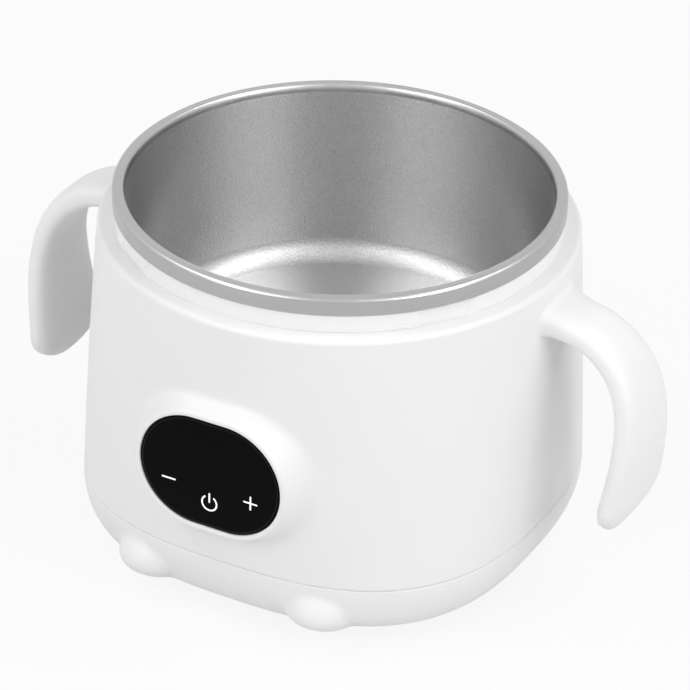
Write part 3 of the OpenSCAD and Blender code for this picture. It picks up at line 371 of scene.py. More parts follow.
def buildHousing():
    h = housing
    turns = fullTurn(h["columns"])
    levels = [h["rowLow"] + h["rowStep"] * k for k in range(h["rowCount"])]
    rows = [[wallPoint(t, h["zPart"] + up, margin) for t in turns] for up, margin in h["partEdge"]]
    outerStart = len(rows)
    rows += [[wallPoint(t, z) for t in turns] for z in levels]
    rings = [(h["shoulderR"], h["zShoulder"] - h["underShoulder"])]
    rings += [(h["shoulderR"] - h["shoulderIn"] * (1 - math.cos(math.radians(d))),
               h["zShoulder"] + (h["zTop"] - h["zShoulder"]) * math.sin(math.radians(d))) for d in range(0, 91, 9)]
    rings += [(h["holeR"] + out, h["zTop"] - down) for out, down in h["holeEdge"]]
    rings.append((h["holeR"], h["zTop"] - h["wall"]))
    rows += [[(r * math.cos(t), r * math.sin(t), z) for t in turns] for r, z in rings]
    rows.append([wallPoint(t, h["zTop"] - h["wall"], h["wall"]) for t in turns])
    innerTop = len(rows)
    rows += [[wallPoint(t, z, h["wall"]) for t in turns] for z in reversed(levels)]
    rows.append([wallPoint(t, h["zPart"], h["wall"]) for t in turns])
    points = [p for row in rows for p in row]
    count = h["columns"]

    def outerRow(k):
        return outerStart + k

    def innerRow(k):
        return innerTop + h["rowCount"] - 1 - k

    skipped = set()
    for shape, both in ((panel, False), (port, True)):
        for k in range(*shape["rows"]):
            for i in range(*shape["columns"]):
                skipped.add((outerRow(k), i))
                if both:
                    skipped.add((innerRow(k + 1), i))
    faces = []
    for j in range(len(rows)):
        for i in range(count):
            if (j, i) not in skipped:
                k, n = (j + 1) % len(rows), (i + 1) % count
                faces.append((j * count + i, j * count + n, k * count + n, k * count + i))

    def border(shape, rowOf):
        (c0, c1), (r0, r1) = shape["columns"], shape["rows"]
        path = [(r0, c) for c in range(c0, c1)] + [(r, c1) for r in range(r0, r1)]
        path += [(r1, c) for c in range(c1, c0, -1)] + [(r, c0) for r in range(r1, r0, -1)]
        return [rowOf(r) * count + c for r, c in path]

    def addRing(places):
        start = len(points)
        points.extend(places)
        return list(range(start, start + len(places)))

    def stitch(rings):
        for low, high in zip(rings, rings[1:]):
            for i in range(len(low)):
                n = (i + 1) % len(low)
                faces.append((low[i], low[n], high[n], high[i]))

    def surround(shape, side):
        edge = border(shape, outerRow)
        flat = [(points[v][0], points[v][2]) for v in edge]
        angles = [math.atan2(z - shape["z"], x) for x, z in flat]

        def outline(halfX, halfZ, square):
            spots = [shape["form"](halfX, halfZ, square, a) for a in angles]
            return [(x, z + shape["z"]) for x, z in spots]

        first = shape["steps"][0]
        outer = outline(shape["halfX"] + first, shape["halfZ"] + first, shape["square"])
        rings = [edge]
        for f in h["gridEase"]:                # ease from the grid's edge to the surround's own outline
            mixed = [(ox + (qx - ox) * f, oz + (qz - oz) * f) for (ox, oz), (qx, qz) in zip(outer, flat)]
            rings.append(addRing([(x, side * wallDepth(x, z), z) for x, z in mixed]))
        for out in shape["steps"]:
            spots = outline(shape["halfX"] + out, shape["halfZ"] + out, shape["square"])
            rings.append(addRing([(x, side * raisedDepth(x, z, out, shape), z) for x, z in spots]))
        return rings, outline

    rings, outline = surround(panel, -1)
    pocket = [(out, panel["face"] - deep) for out, deep in panel["edge"]]
    pocket += [(panel["fit"], panel["pocket"]), (-panel["ledge"], panel["pocket"])]
    for out, y in pocket:
        spots = outline(panel["halfX"] + out, panel["halfZ"] + out, panel["square"])
        rings.append(addRing([(x, -y, z) for x, z in spots]))
    stitch(rings)
    faces.append(tuple(rings[-1]))

    rings, outline = surround(port, 1)
    for out, deep in (*port["edge"], (0.0, port["face"] - port["pocket"])):
        spots = outline(port["pocketX"] + out, port["pocketZ"] + out, port["pocketSquare"])
        rings.append(addRing([(x, port["face"] - deep, z) for x, z in spots]))
    for out, deep in port["holeEdge"]:
        spots = outline(port["holeX"] + out, port["holeZ"] + out, port["holeSquare"])
        rings.append(addRing([(x, port["pocket"] - deep, z) for x, z in spots]))
    for out in (0.0, port["holeFlare"]):       # through the wall and out over its inner face
        spots = outline(port["holeX"] + out, port["holeZ"] + out, port["holeSquare"])
        rings.append(addRing([(x, wallDepth(x, z, h["wall"]), z) for x, z in spots]))
    rings.append(border(port, innerRow))
    stitch(rings)
    return points, faces


shell = makePiece("outerShell", *buildHousing(), whiteShell, "warmer", ["outer_housing"], "white_shell")
print("housing built:", len(shell.data.polygons), "faces")


# touch panel: black lens with a rounded edge, and three flush symbols
lens = {
    "back": 66.1, "columns": 160, "shineFrom": 0.58, "shineTo": 0.78,
    "edge": ((0.0, 0.0), (0.0, 1.3), (0.03, 1.38), (0.1, 1.43),     # in from the side, out from the back
             (0.6, 1.52), (0.68, 1.56), (0.77, 1.585), (0.9, 1.6)),
}
symbols = {
    "step": 12.2, "drop": 4.5, "length": 4.2, "stroke": 0.46, "overlap": 0.1, "back": 67.5, "face": 67.73,
    "powerR": 2.4, "powerDrop": 3.9, "gap": 38, "barLow": 0.35, "barHigh": 0.45, "ringSteps": 40, "endSides": 16,
    "capSteps": 10,
}


def lensSpot(inset, turn):
    return panel["form"](panel["halfX"] - inset, panel["halfZ"] - inset, panel["square"], turn)


def lensRing(inset, y):
    spots = [lensSpot(inset, t) for t in fullTurn(lens["columns"])]
    return [(x, -y, z + panel["z"]) for x, z in spots]


def buildLens():
    points, faces = loft([lensRing(inset, lens["back"] + up) for inset, up in lens["edge"]])
    return makePiece("touchLens", points, faces, [blackLens, lensEdge], "warmer", ["touch_panel"], "black_lens", 50)


touchLens = buildLens()
for face in touchLens.data.polygons:           # only the thin turn of the edge is glossy
    x, z = abs(face.center.x) / mm, abs(face.center.z / mm - panel["z"])
    edgeX, edgeZ = lensSpot(0.0, math.atan2(z, x))
    if lens["shineFrom"] < math.hypot(edgeX, edgeZ) - math.hypot(x, z) < lens["shineTo"]:
        face.material_index = 1


def plate(spots):
    return loft([[(x, -y, z) for x, z in spots] for y in (symbols["back"], symbols["face"])])


def stroke(x0, z0, x1, z1):                    # a straight line with round ends
    turn = math.degrees(math.atan2(z1 - z0, x1 - x0))
    half, steps = symbols["stroke"] / 2, symbols["capSteps"]
    return plate(arc(x1, z1, half, turn - 90, turn + 90, steps) + arc(x0, z0, half, turn + 90, turn + 270, steps))


def buildSymbols():
    s = symbols
    z, side = panel["z"] - s["drop"], s["step"]
    half, short = (s["length"] - s["stroke"]) / 2, s["stroke"] / 2 - s["overlap"]
    shapes = [stroke(-side - half, z, -side + half, z), stroke(side - half, z, side + half, z),
              stroke(side, z - half, side, z - short), stroke(side, z + short, side, z + half)]
    low = z - s["powerDrop"]
    shapes.append(stroke(0, low + s["barLow"], 0, low + s["powerR"] + s["barHigh"]))
    mid, start, end = s["powerR"] - s["stroke"] / 2, 90 + s["gap"], 450 - s["gap"]
    outer = arc(0, low, mid + s["stroke"] / 2, start, end, s["ringSteps"])
    inner = arc(0, low, mid - s["stroke"] / 2, start, end, s["ringSteps"])
    shapes.append(loft([[(x, -s["back"], h), (x, -s["face"], h), (q, -s["face"], g), (q, -s["back"], g)]
                        for (x, h), (q, g) in zip(outer, inner)]))
    for endX, endZ in arc(0, low, mid, start, end, 1):     # round ends on the ring's gap
        shapes.append(plate(circle(endX, endZ, s["stroke"] / 2, s["endSides"])))
    return makePiece("panelSymbols", *joined(*shapes), symbolWhite, "warmer", ["touch_icons"], "symbol_white", 60)


buildSymbols()
print("touch panel built")


# steel bowl: one turned section with a rolled lip over the band
bowl = {
    "floor": 52.2, "rim": 104.4, "wallTop": 56.6, "draft": 3.0, "fillet": 6.5, "steel": 0.6, "columns": 256,
    "floorRings": (0.0, 16.0, 32.0), "cornerSteps": 24, "flareDrop": 2.1, "hemDrop": 1.5,
    "innerRows": (66, 74, 82, 90, 96, 100, 101.8), "outerRows": (101, 96, 88, 80, 72, 64),
    "flare": ((56.53, 1.8), (56.58, 1.4), (56.67, 1.0), (56.8, 0.6), (56.95, 0.28), (57.06, 0.16)),   # radius, drop
    "top": ((57.12, 0.2), (57.2, 0.1), (57.4, 0.02), (58.0, 0.0), (58.7, 0.03), (58.86, 0.12), (58.94, 0.1)),
    "rollR": 59.0, "rollDrop": 1.05, "rollRound": 1.0,
    "side": ((59.93, 1.05), (60.0, 1.25), (60.0, 3.0), (60.0, 4.4)),
    "hem": ((59.97, 4.72), (59.85, 4.86), (59.65, 4.9), (59.45, 4.8), (59.4, 4.4), (59.4, 1.6), (59.0, 0.95),
            (58.0, 0.65)),
    "lipFrom": 102.2, "bandR": 58.6, "cornerShare": 0.8,
}


def bowlWall(z, out=0.0):
    lean = math.radians(bowl["draft"])
    return bowl["wallTop"] - (bowl["rim"] - z) * math.tan(lean) + out / math.cos(lean)


def bowlCorner(out, start, end, steps):
    cornerZ = bowl["floor"] + bowl["fillet"]
    return arc(bowlWall(cornerZ, -bowl["fillet"]), cornerZ, bowl["fillet"] + out, start, end, steps)


def bowlSection():
    b = bowl
    flareZ, hemZ, rollZ = b["rim"] - b["flareDrop"], b["rim"] - b["hemDrop"], b["rim"] - b["rollDrop"]

    def below(spots):
        return [(r, b["rim"] - drop) for r, drop in spots]

    inner = [(r, b["floor"]) for r in b["floorRings"]] + bowlCorner(0.0, -90, -b["draft"], b["cornerSteps"])
    inner += [(bowlWall(z), z) for z in (*b["innerRows"], flareZ)]
    lip = below(b["flare"] + b["top"]) + arc(b["rollR"], rollZ, b["rollRound"], 88, 8, 8)
    band = below(b["side"] + b["hem"]) + [(bowlWall(hemZ, b["steel"]), hemZ)]
    outer = [(bowlWall(z, b["steel"]), z) for z in b["outerRows"]]
    outer += bowlCorner(b["steel"], -b["draft"], -90, b["cornerSteps"])
    outer += [(r, b["floor"] - b["steel"]) for r in reversed(b["floorRings"])]
    return inner + lip + band + outer


foodBowl = makePiece("foodBowl", *lathe(bowlSection(), bowl["columns"], False),
                     [bowlSteel, rimSteel, floorSteel, cornerSteel], "bowl", ["steel_bowl"], "bowl_steel", 60)
for face in foodBowl.data.polygons:            # lip and band, then the floor, then the corner round it
    if face.center.z > bowl["lipFrom"] * mm or math.hypot(face.center.x, face.center.y) > bowl["bandR"] * mm:
        face.material_index = 1
    elif face.center.z < (bowl["floor"] + 0.1) * mm:
        face.material_index = 2
    elif face.center.z < (bowl["floor"] + bowl["fillet"] * bowl["cornerShare"]) * mm:
        face.material_index = 3
print("bowl built")


# neck and well: the bowl's seat, with four lid-lock slots moulded round the neck
neck = {"slotR": 59.1, "raise": 0.4, "low": 94.54, "high": 99.45, "topR": 59.1, "sealZ": 102.8, "rows": 26,
        "slotStart": -41.2, "rampLow": -30.1, "rampHigh": -26.7, "rampLowZ": 94.8, "rampHighZ": 99.0, "soft": 0.3,
        "rampRaise": 0.3, "rampWide": 0.9, "slots": 4, "topRound": 0.15, "lowEdge": 0.05, "midZ": 100.2,
        "turnStep": 2.0, "fineStep": 0.1, "fineHalf": 5, "beforeRamp": 1.4, "afterRamp": 1.8, "rampSteps": 30,
        "leastStep": 0.06}
well = {"gap": 0.9, "wall": 1.6, "plateR": 37.0, "flangeR": 61.3, "flangeLow": 90.1, "flangeHigh": 92.1,
        "innerRows": (66, 74, 82, 90, 98), "outerRows": (80, 70, 64), "cornerSteps": 20, "flangeIn": 0.3}


def neckRadius(turn, z):
    n = neck
    step = 360 / n["slots"]
    local = (turn - n["slotStart"] + step / 2) % step - step / 2 + n["slotStart"]
    ramp = n["rampLow"] + (n["rampHigh"] - n["rampLow"]) * (z - n["rampLowZ"]) / (n["rampHighZ"] - n["rampLowZ"])
    perDegree = math.pi * n["slotR"] / 180
    fromStart = (local - n["slotStart"]) * perDegree
    toRamp = (ramp - local) * perDegree
    inSlot = smoothStep(-n["soft"], n["soft"], fromStart) * smoothStep(-n["soft"], n["soft"], toRamp)
    ridge = max(0, 1 - (toRamp / n["rampWide"]) ** 2) ** 2
    return n["slotR"] + n["raise"] * (1 - inSlot) + n["rampRaise"] * ridge


def neckTurns():
    n = neck
    turns = [i * n["turnStep"] for i in range(int(360 / n["turnStep"]))]
    low = n["rampLow"] - n["slotStart"] - n["beforeRamp"]
    high = n["rampHigh"] - n["slotStart"] + n["afterRamp"]
    for i in range(n["slots"]):                # finer columns where a slot starts and along its ramp
        start = n["slotStart"] + i * 360 / n["slots"]
        turns += [start + k * n["fineStep"] for k in range(-n["fineHalf"], n["fineHalf"] + 1)]
        turns += [start + low + (high - low) * k / n["rampSteps"] for k in range(n["rampSteps"] + 1)]
    kept = []
    for t in sorted(v % 360 for v in turns):
        if not kept or t - kept[-1] > n["leastStep"]:
            kept.append(t)
    return kept


def buildNeck():
    n, w, b = neck, well, bowl
    near, far = w["gap"], w["gap"] + w["wall"]
    inside = [(w["plateR"], b["floor"] - far), (w["plateR"], b["floor"] - near)]
    inside += bowlCorner(near, -90, -b["draft"], w["cornerSteps"])
    inside += [(bowlWall(z, near), z) for z in (*w["innerRows"], n["sealZ"])]
    inside += [(n["topR"], n["sealZ"]), (n["topR"], n["midZ"]), (n["topR"], n["high"])]
    top = n["high"] - n["topRound"]
    levels = [top - (top - n["low"]) * k / n["rows"] for k in range(n["rows"] + 1)]
    outside = [(n["slotR"], n["low"] - n["lowEdge"]), (n["slotR"], w["flangeHigh"]), (w["flangeR"], w["flangeHigh"]),
               (w["flangeR"], w["flangeLow"]), (bowlWall(w["flangeLow"], far) + w["flangeIn"], w["flangeLow"])]
    outside += [(bowlWall(z, far), z) for z in w["outerRows"]]
    outside += bowlCorner(far, -b["draft"], -90, w["cornerSteps"])
    turns = neckTurns()
    points, faces = [], []
    for turn in turns:
        t = math.radians(turn)
        column = inside + [(neckRadius(turn, z), z) for z in levels] + outside
        points += [(r * math.cos(t), r * math.sin(t), z) for r, z in column]
    size = len(column)
    for i in range(len(turns)):
        a, c = i * size, (i + 1) % len(turns) * size
        for j in range(size):
            k = (j + 1) % size
            faces.append((a + j, c + j, c + k, a + k))
    return points, faces


makePiece("neckWell", *buildNeck(), whiteLiner, "warmer", ["inner_liner"], "white_liner", 40)

# three short moulded lines beside each slot
marks = {"from": -48.6, "to": -42.6, "shift": 1.2, "heights": (95.2, 95.8, 96.4), "tall": 0.22, "out": 0.12,
         "sunk": 0.2, "steps": 8}


def buildMarks():
    m, shapes = marks, []
    for i in range(neck["slots"]):
        for j, z in enumerate(m["heights"]):
            start = m["from"] + m["shift"] * j
            rings = []
            for k in range(m["steps"] + 1):
                turn = start + (m["to"] - start) * k / m["steps"] + i * 360 / neck["slots"]
                t, r = math.radians(turn), neck["slotR"] + neck["raise"]
                rings.append([(q * math.cos(t), q * math.sin(t), z + up)
                              for q, up in ((r - m["sunk"], -m["tall"]), (r + m["out"], -m["tall"] / 2),
                                            (r + m["out"], m["tall"] / 2), (r - m["sunk"], m["tall"]))])
            shapes.append(loft(rings))
    return makePiece("lockMarks", *joined(*shapes), whiteLiner, "warmer", (), "white_liner")


buildMarks()
print("neck and well built")


# inside the well: a turned heating plate, the rounded probe on its coil spring and a silicone seal
heater = {"r": 36.73, "low": 47.0, "high": 51.6, "flangeR": 40.0, "flangeT": 1.4, "hole": 5.0, "holeEdge": 0.4,
          "edge": 0.5, "columns": 160, "grooves": 7, "firstGroove": 3, "grooveStep": 4.0,
          "groove": ((0.0, 0.0), (0.2, 0.12), (0.5, 0.12), (0.7, 0.0))}
probe = {"r": 3.4, "top": 51.6, "head": 47.6, "stemR": 1.6, "tail": 34.5, "topRound": 0.9, "headEdge": 0.2,
         "tailEdge": 0.4, "columns": 64}


def heaterSection():
    h = heater
    top = [(h["hole"], h["low"]), (h["hole"], h["high"] - h["holeEdge"]), (h["hole"] + h["holeEdge"], h["high"])]
    for k in range(h["grooves"]):              # shallow rings left by the lathe tool
        r = h["hole"] + h["firstGroove"] + k * h["grooveStep"]
        top += [(r + out, h["high"] - deep) for out, deep in h["groove"]]
    top += [(h["r"] - h["edge"], h["high"]), (h["r"], h["high"] - h["edge"]), (h["r"], h["low"] + h["flangeT"])]
    return top + [(h["flangeR"], h["low"] + h["flangeT"]), (h["flangeR"], h["low"])]


makePiece("heaterDisc", *lathe(heaterSection(), heater["columns"]), turnedPlate, "warmer", ["heating_plate"],
          "cast_aluminium", 25)


def probeSection():
    p = probe
    flatR = p["r"] - p["topRound"]
    section = [(0.0, p["top"]), (flatR, p["top"])] + arc(flatR, p["top"] - p["topRound"], p["topRound"], 80, 0, 6)
    section += [(p["r"], p["head"] + p["headEdge"]), (p["r"] - p["headEdge"], p["head"]), (p["stemR"], p["head"])]
    section += [(p["stemR"], p["tail"] + p["tailEdge"]), (p["stemR"] - p["tailEdge"], p["tail"]), (0.0, p["tail"])]
    return section


makePiece("probeTip", *lathe(probeSection(), probe["columns"], False), rimSteel, "probe", ["sensor_plunger"],
          "bowl_steel", 40)

# the coil spring under the probe
spring = {"r": 2.65, "wire": 0.25, "low": 38.84, "high": 47.26, "coils": 4, "flatEnd": 0.7, "steps": 24, "sides": 12,
          "seat": 38.5, "keep": 0.83}


def buildSpring():
    s = spring
    turnsAll = s["coils"] + 2 * s["flatEnd"]
    rings = []
    for k in range(int(turnsAll * s["steps"]) + 1):
        turns = k / s["steps"]
        risen = min(1, max(0, (turns - s["flatEnd"]) / s["coils"]))
        t, z = 2 * math.pi * turns, s["low"] + (s["high"] - s["low"]) * risen
        wire = circle(s["r"], z, s["wire"], s["sides"])
        rings.append([(r * math.cos(t), r * math.sin(t), height) for r, height in wire])
    piece = makePiece("probeSpring", *loft(rings), zincScrew, "warmer", ["sensor_spring"], "zinc_steel")
    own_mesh(piece)


buildSpring()

# soft seal between the rim and the top of the neck
sealRing = {"inner": 57.5, "outer": 59.05, "low": 102.8, "high": 103.8, "round": 0.25, "columns": 192}


def sealSection():
    s = sealRing
    edge = [(0.0, s["round"]), (s["round"] * 0.3, s["round"] * 0.3), (s["round"], 0.0)]     # in from the side, down
    section = [(s["inner"], s["low"]), (s["outer"], s["low"])]
    section += [(s["outer"] - side, s["high"] - down) for side, down in edge]
    return section + [(s["inner"] + side, s["high"] - down) for side, down in reversed(edge)]


makePiece("sealRing", *lathe(sealSection(), sealRing["columns"]), padRubber, "warmer", ["liner_seal"], "silicone")
print("heater and probe built")


# handles: an oval strap along one curve, with a root that swells into the wall
strap = {
    "path": ((61.1, 85.2), (92.4, 81.2), (92.4, 62.0), (85.5, 27.7)), "back": 2.0,
    "rootWide": 16.8, "wide": 31.6, "swell": 1.9, "thick": 7.18, "square": 3.2, "tipFrom": 0.9, "tipLeast": 0.0004,
    "sides": 64, "rings": 72, "tipCrowd": 1.7, "rootNear": 0.06, "rootFrom": 0.17, "rootSteps": 14,
    "flareLow": 1.8, "flareSide": 3.6, "flareHigh": 1.5, "sunk": 0.15,
}


def strapCentre(s):
    (x0, z0), (x1, z1), (x2, z2), (x3, z3) = strap["path"]
    a, b, c, d = (1 - s) ** 3, 3 * s * (1 - s) ** 2, 3 * s * s * (1 - s), s ** 3
    x, z = a * x0 + b * x1 + c * x2 + d * x3, a * z0 + b * z1 + c * z2 + d * z3
    e, f, g = (1 - s) ** 2, 2 * s * (1 - s), s * s
    dx, dz = e * (x1 - x0) + f * (x2 - x1) + g * (x3 - x2), e * (z1 - z0) + f * (z2 - z1) + g * (z3 - z2)
    size = math.hypot(dx, dz)
    return x, z, dx / size, dz / size


def strapSpot(s, turn):
    st = strap
    tip = max(0, (s - st["tipFrom"]) / (1 - st["tipFrom"]))
    share = math.sqrt(max(st["tipLeast"], 1 - tip * tip))
    halfW = (st["rootWide"] + (st["wide"] - st["rootWide"]) * (s / st["tipFrom"]) ** st["swell"]) / 2 * share
    across, out = oval(halfW, st["thick"] / 2 * share, st["square"], turn)
    x, z, dx, dz = strapCentre(s)
    return x - dz * out, across, z + dx * out


def rootSpot(f, turn):                         # fillet at the wall, wide at the sides and tight above and below
    st = strap
    end = strapSpot(st["rootFrom"], turn)
    nearY, nearZ = strapSpot(st["rootNear"], turn)[1:]
    centreZ = strapCentre(st["rootNear"])[1]
    upright = st["flareHigh"] if math.sin(turn) > 0 else st["flareLow"]
    flare = st["flareSide"] + (upright - st["flareSide"]) * math.sin(turn) ** 2
    grow = 1 + flare / math.hypot(nearY, nearZ - centreZ)
    footY, footZ = nearY * grow, centreZ + (nearZ - centreZ) * grow
    foot = (wallSide(footY + st["back"], footZ) - st["sunk"], footY, footZ)
    bend = (wallSide(nearY + st["back"], nearZ), nearY, nearZ)
    a, b, c = (1 - f) ** 2, 2 * f * (1 - f), f * f
    return tuple(a * p + b * q + c * r for p, q, r in zip(foot, bend, end))


def buildHandle(side):
    st = strap
    turns = fullTurn(st["sides"])
    rings = [[rootSpot(k / st["rootSteps"], t) for t in turns] for k in range(st["rootSteps"])]
    for k in range(st["rings"] + 1):           # rings crowd together towards the tip
        share = 1 - (1 - k / st["rings"]) ** st["tipCrowd"]
        s = st["rootFrom"] + (1 - st["rootFrom"]) * share
        rings.append([strapSpot(s, t) for t in turns])
    points, faces = loft([[(side * x, y + st["back"], z) for x, y, z in ring] for ring in rings])
    name = "rightHandle" if side > 0 else "leftHandle"
    node = "right_handle" if side > 0 else "left_handle"
    return makePiece(name, points, faces, whiteShell, "warmer", [node], "white_shell", 60)


buildHandle(1)
buildHandle(-1)
print("handles built")


# base cover with four toes swelling out of it, screw wells and rubber pads
base = {"zPart": 20.6, "height": 16.6, "halfX": 63.6, "halfY": 61.5, "square": 2.7, "inset": 10.0,
        "columns": 400, "arcRows": 44, "floorRows": 26, "floorShare": 0.97, "toesTo": 1.8, "seam": 0.3,
        "inside": ((10.4, 14.2), (2.4, 0.02), (0.5, 0.02), (0.16, 0.1))}     # in from the side, down from zPart
toe = {"x": 25.2, "y": 53.2, "z": 11.4, "r": 9.4, "up": 7.5, "footBack": 9.7, "footR": 4.4, "blend": 1.1, "flat": 0.8,
       "slack": 0.8, "reach": 6, "most": 12.0, "halvings": 26}
wells = {"x": 40.0, "y": 36.0, "r": 3.05, "depth": 4.0, "sides": 48}


def toeGap(p):
    t = toe
    x, y, z = abs(p[0]) - t["x"], abs(p[1]) - t["y"], p[2] - t["z"]
    if z > 0:                                  # a rounded bulge above, drawn back to its foot below
        spot = (x / t["r"]) ** 2 + (y / t["r"]) ** 2 + (z / t["up"]) ** 2
        return (math.sqrt(spot) - 1) * (t["r"] + t["up"]) / 2
    share = math.sin(math.pi / 2 * max(0, 1 + z / (t["z"] - t["flat"])))
    r = t["footR"] + (t["r"] - t["footR"]) * share
    return (math.hypot(x, y + t["footBack"] * (1 - share)) - r) * t["slack"]


def swollen(p, normal):
    if toeGap(p) > toe["reach"]:
        return p
    low, high = 0.0, toe["most"]
    for _ in range(toe["halvings"]):           # first place along the normal that lies on the blended skin
        mid = (low + high) / 2
        q = tuple(a + b * mid for a, b in zip(p, normal))
        inside = smoothMax(-mid, -toeGap(q), toe["blend"]) > 0
        low, high = (mid, high) if inside else (low, mid)
    q = [a + b * low for a, b in zip(p, normal)]
    return q[0], q[1], max(q[2], toe["flat"])


def buildBase():
    b = base
    turns = fullTurn(b["columns"])

    def skin(turn, u):
        if u <= 1:                             # from the parting line round to the flat underside
            t = math.radians(90 * u)
            margin = b["inset"] * (1 - math.cos(t))
            x, y = oval(b["halfX"] - margin, b["halfY"] - margin, b["square"], turn)
            return x, y, b["zPart"] - b["height"] * math.sin(t)
        x, y = oval(b["halfX"] - b["inset"], b["halfY"] - b["inset"], b["square"], turn)
        share = 1 - (u - 1) * b["floorShare"]
        return x * share, y * share, b["zPart"] - b["height"]

    def normalAt(turn, u):
        h = 1e-3
        a = Vector(skin(turn + h, u)) - Vector(skin(turn - h, u))
        lowU, highU = max(0, u - h), min(u + h, 2) if u > 1 else min(u + h, 1)
        c = Vector(skin(turn, lowU)) - Vector(skin(turn, highU))
        return tuple(a.cross(c).normalized())

    steps = [k / b["arcRows"] for k in range(b["arcRows"] + 1)]
    steps += [1 + (k + 1) / b["floorRows"] for k in range(b["floorRows"])]
    rings = []
    for inset, down in b["inside"]:
        shape = (b["halfX"] - inset, b["halfY"] - inset, b["square"])
        rings.append([(*oval(*shape, t), b["zPart"] - down) for t in turns])
    rings.append([(*skin(t, 0)[:2], b["zPart"] - b["seam"]) for t in turns])
    for u in steps[1:]:
        rings.append([swollen(skin(t, u), normalAt(t, u)) if u < b["toesTo"] else skin(t, u) for t in turns])
    return loft(rings)


def cutWells(piece):
    w = wells
    shapes = []
    for sx in (-1, 1):
        for sy in (-1, 1):
            ring = circle(sx * w["x"], sy * w["y"], w["r"], w["sides"])
            floorZ = base["zPart"] - base["height"]
            shapes.append(loft([[(x, y, z) for x, y in ring] for z in (floorZ - 1, floorZ + w["depth"])]))
    points, faces = joined(*shapes)
    mesh = bpy.data.meshes.new("wellCutter")
    mesh.from_pydata([(x * mm, y * mm, z * mm) for x, y, z in points], [], faces)
    cutter = bpy.data.objects.new("wellCutter", mesh)
    scene.collection.objects.link(cutter)
    cut = piece.modifiers.new("wells", "BOOLEAN")
    cut.object, cut.operation, cut.solver = cutter, "DIFFERENCE", "EXACT"
    depsgraph = bpy.context.evaluated_depsgraph_get()
    done = bpy.data.meshes.new_from_object(piece.evaluated_get(depsgraph))
    piece.modifiers.clear()
    piece.data = done
    bpy.data.objects.remove(cutter)
    done.polygons.foreach_set("use_smooth", [True] * len(done.polygons))
    done.set_sharp_from_angle(angle=math.radians(35))


baseShell = makePiece("baseShell", *buildBase(), whiteShell, "warmer", ["base_cover"], "white_shell")
cutWells(baseShell)
print("base built:", len(baseShell.data.polygons), "faces")

# rubber pads under the toes and the screw heads in their wells
padShape = {"r": 3.1, "high": 1.6, "round": 0.4, "columns": 48, "dish": ((0.0, 0.12), (1.5, 0.12), (1.8, 0.0))}
screwHead = {
    "seat": 8.0, "r": 2.8, "high": 2.2, "slotDeep": 1.2, "shank": 1.45, "tip": 34.6, "point": 0.8,
    "columns": 48, "dome": 0.5, "domeRings": (1.6, 2.0, 2.4, 2.7), "edgeUp": 0.75, "slotR": 0.5,
    "recess": ((1.2, 0.45), (1.5, 0.2)),
    "rib": ((0.62, 0.0), (1.5, 0.75), (1.62, 0.0), (1.5, -0.75)), "ribUp": 0.15, "ribDeep": 0.1,
}


def padSection():
    p = padShape
    flatR = p["r"] - p["round"]
    section = [*p["dish"], (flatR, 0.0)] + arc(flatR, p["round"], p["round"], -75, 0, 5)
    return section + [(p["r"], p["high"]), (0.0, p["high"])]


padSpots = (("front_left_pad", -1, -1), ("front_right_pad", 1, -1),
            ("rear_left_pad", -1, 1), ("rear_right_pad", 1, 1))
for node, sx, sy in padSpots:
    first, second = node.split("_")[:2]
    place = (sx * toe["x"], sy * (toe["y"] - toe["footBack"]), 0)
    shape = moved(lathe(padSection(), padShape["columns"], False), place)
    makePiece(first + second.capitalize() + "Pad", *shape, padRubber, "warmer", [node], "silicone")


def buildScrews():
    s, shapes = screwHead, []
    low = s["seat"] - s["high"]
    recess = [(0.0, low + s["slotDeep"]), (s["slotR"], low + s["slotDeep"])]
    recess += [(r, low + up) for r, up in s["recess"]]
    dome = [(r, low + s["dome"] * (r / s["r"]) ** 2) for r in s["domeRings"]]
    side = [(s["r"], low + s["edgeUp"]), (s["r"], s["seat"]), (s["shank"], s["seat"]), (s["shank"], s["tip"])]
    body = lathe(recess + dome + side + [(0.0, s["tip"] + s["point"])], s["columns"], False)
    arms = []
    for a in range(4):                         # ribs that leave a cross-shaped recess
        t = math.radians(45 + 90 * a)
        c, d = math.cos(t), math.sin(t)
        ring = [(r * c - across * d, r * d + across * c) for r, across in s["rib"]]
        heights = (low + s["ribUp"], low + s["slotDeep"] + s["ribDeep"])
        arms.append(loft([[(x, y, z) for x, y in ring] for z in heights]))
    whole = joined(body, *arms)
    for sx in (-1, 1):
        for sy in (-1, 1):
            shapes.append(moved(whole, (sx * wells["x"], sy * wells["y"], 0)))
    return makePiece("baseScrews", *joined(*shapes), zincScrew, "warmer", ["base_screws"], "zinc_steel")


buildScrews()
print("pads and screws built")


# port cover: a rounded flap with a finger ledge, turning on its pin
flap = {
    "halfX": 9.2, "low": 28.7, "high": 39.0, "inner": 64.1, "face": 65.9, "round": 0.35, "corner": 1.6,
    "leastCorner": 0.05, "footIn": 1.5, "footHigh": 1.35, "footEdge": 0.1, "footSlope": ((0.5, 0.4), (0.0, 0.9)),
    "ledgeHalf": 3.0, "ledgeHigh": 1.2, "ledgeDrop": 0.15, "ledgeSunk": 0.3, "ledgeSlant": 0.7,
    "ledgeSteps": ((0.0, 0.1), (0.5, 0.5), (1.0, 0.7)),     # along from its end, out from the face
    "pinY": 65.0, "pinZ": 28.7, "barrel": 0.9, "barrelSides": 32,
}


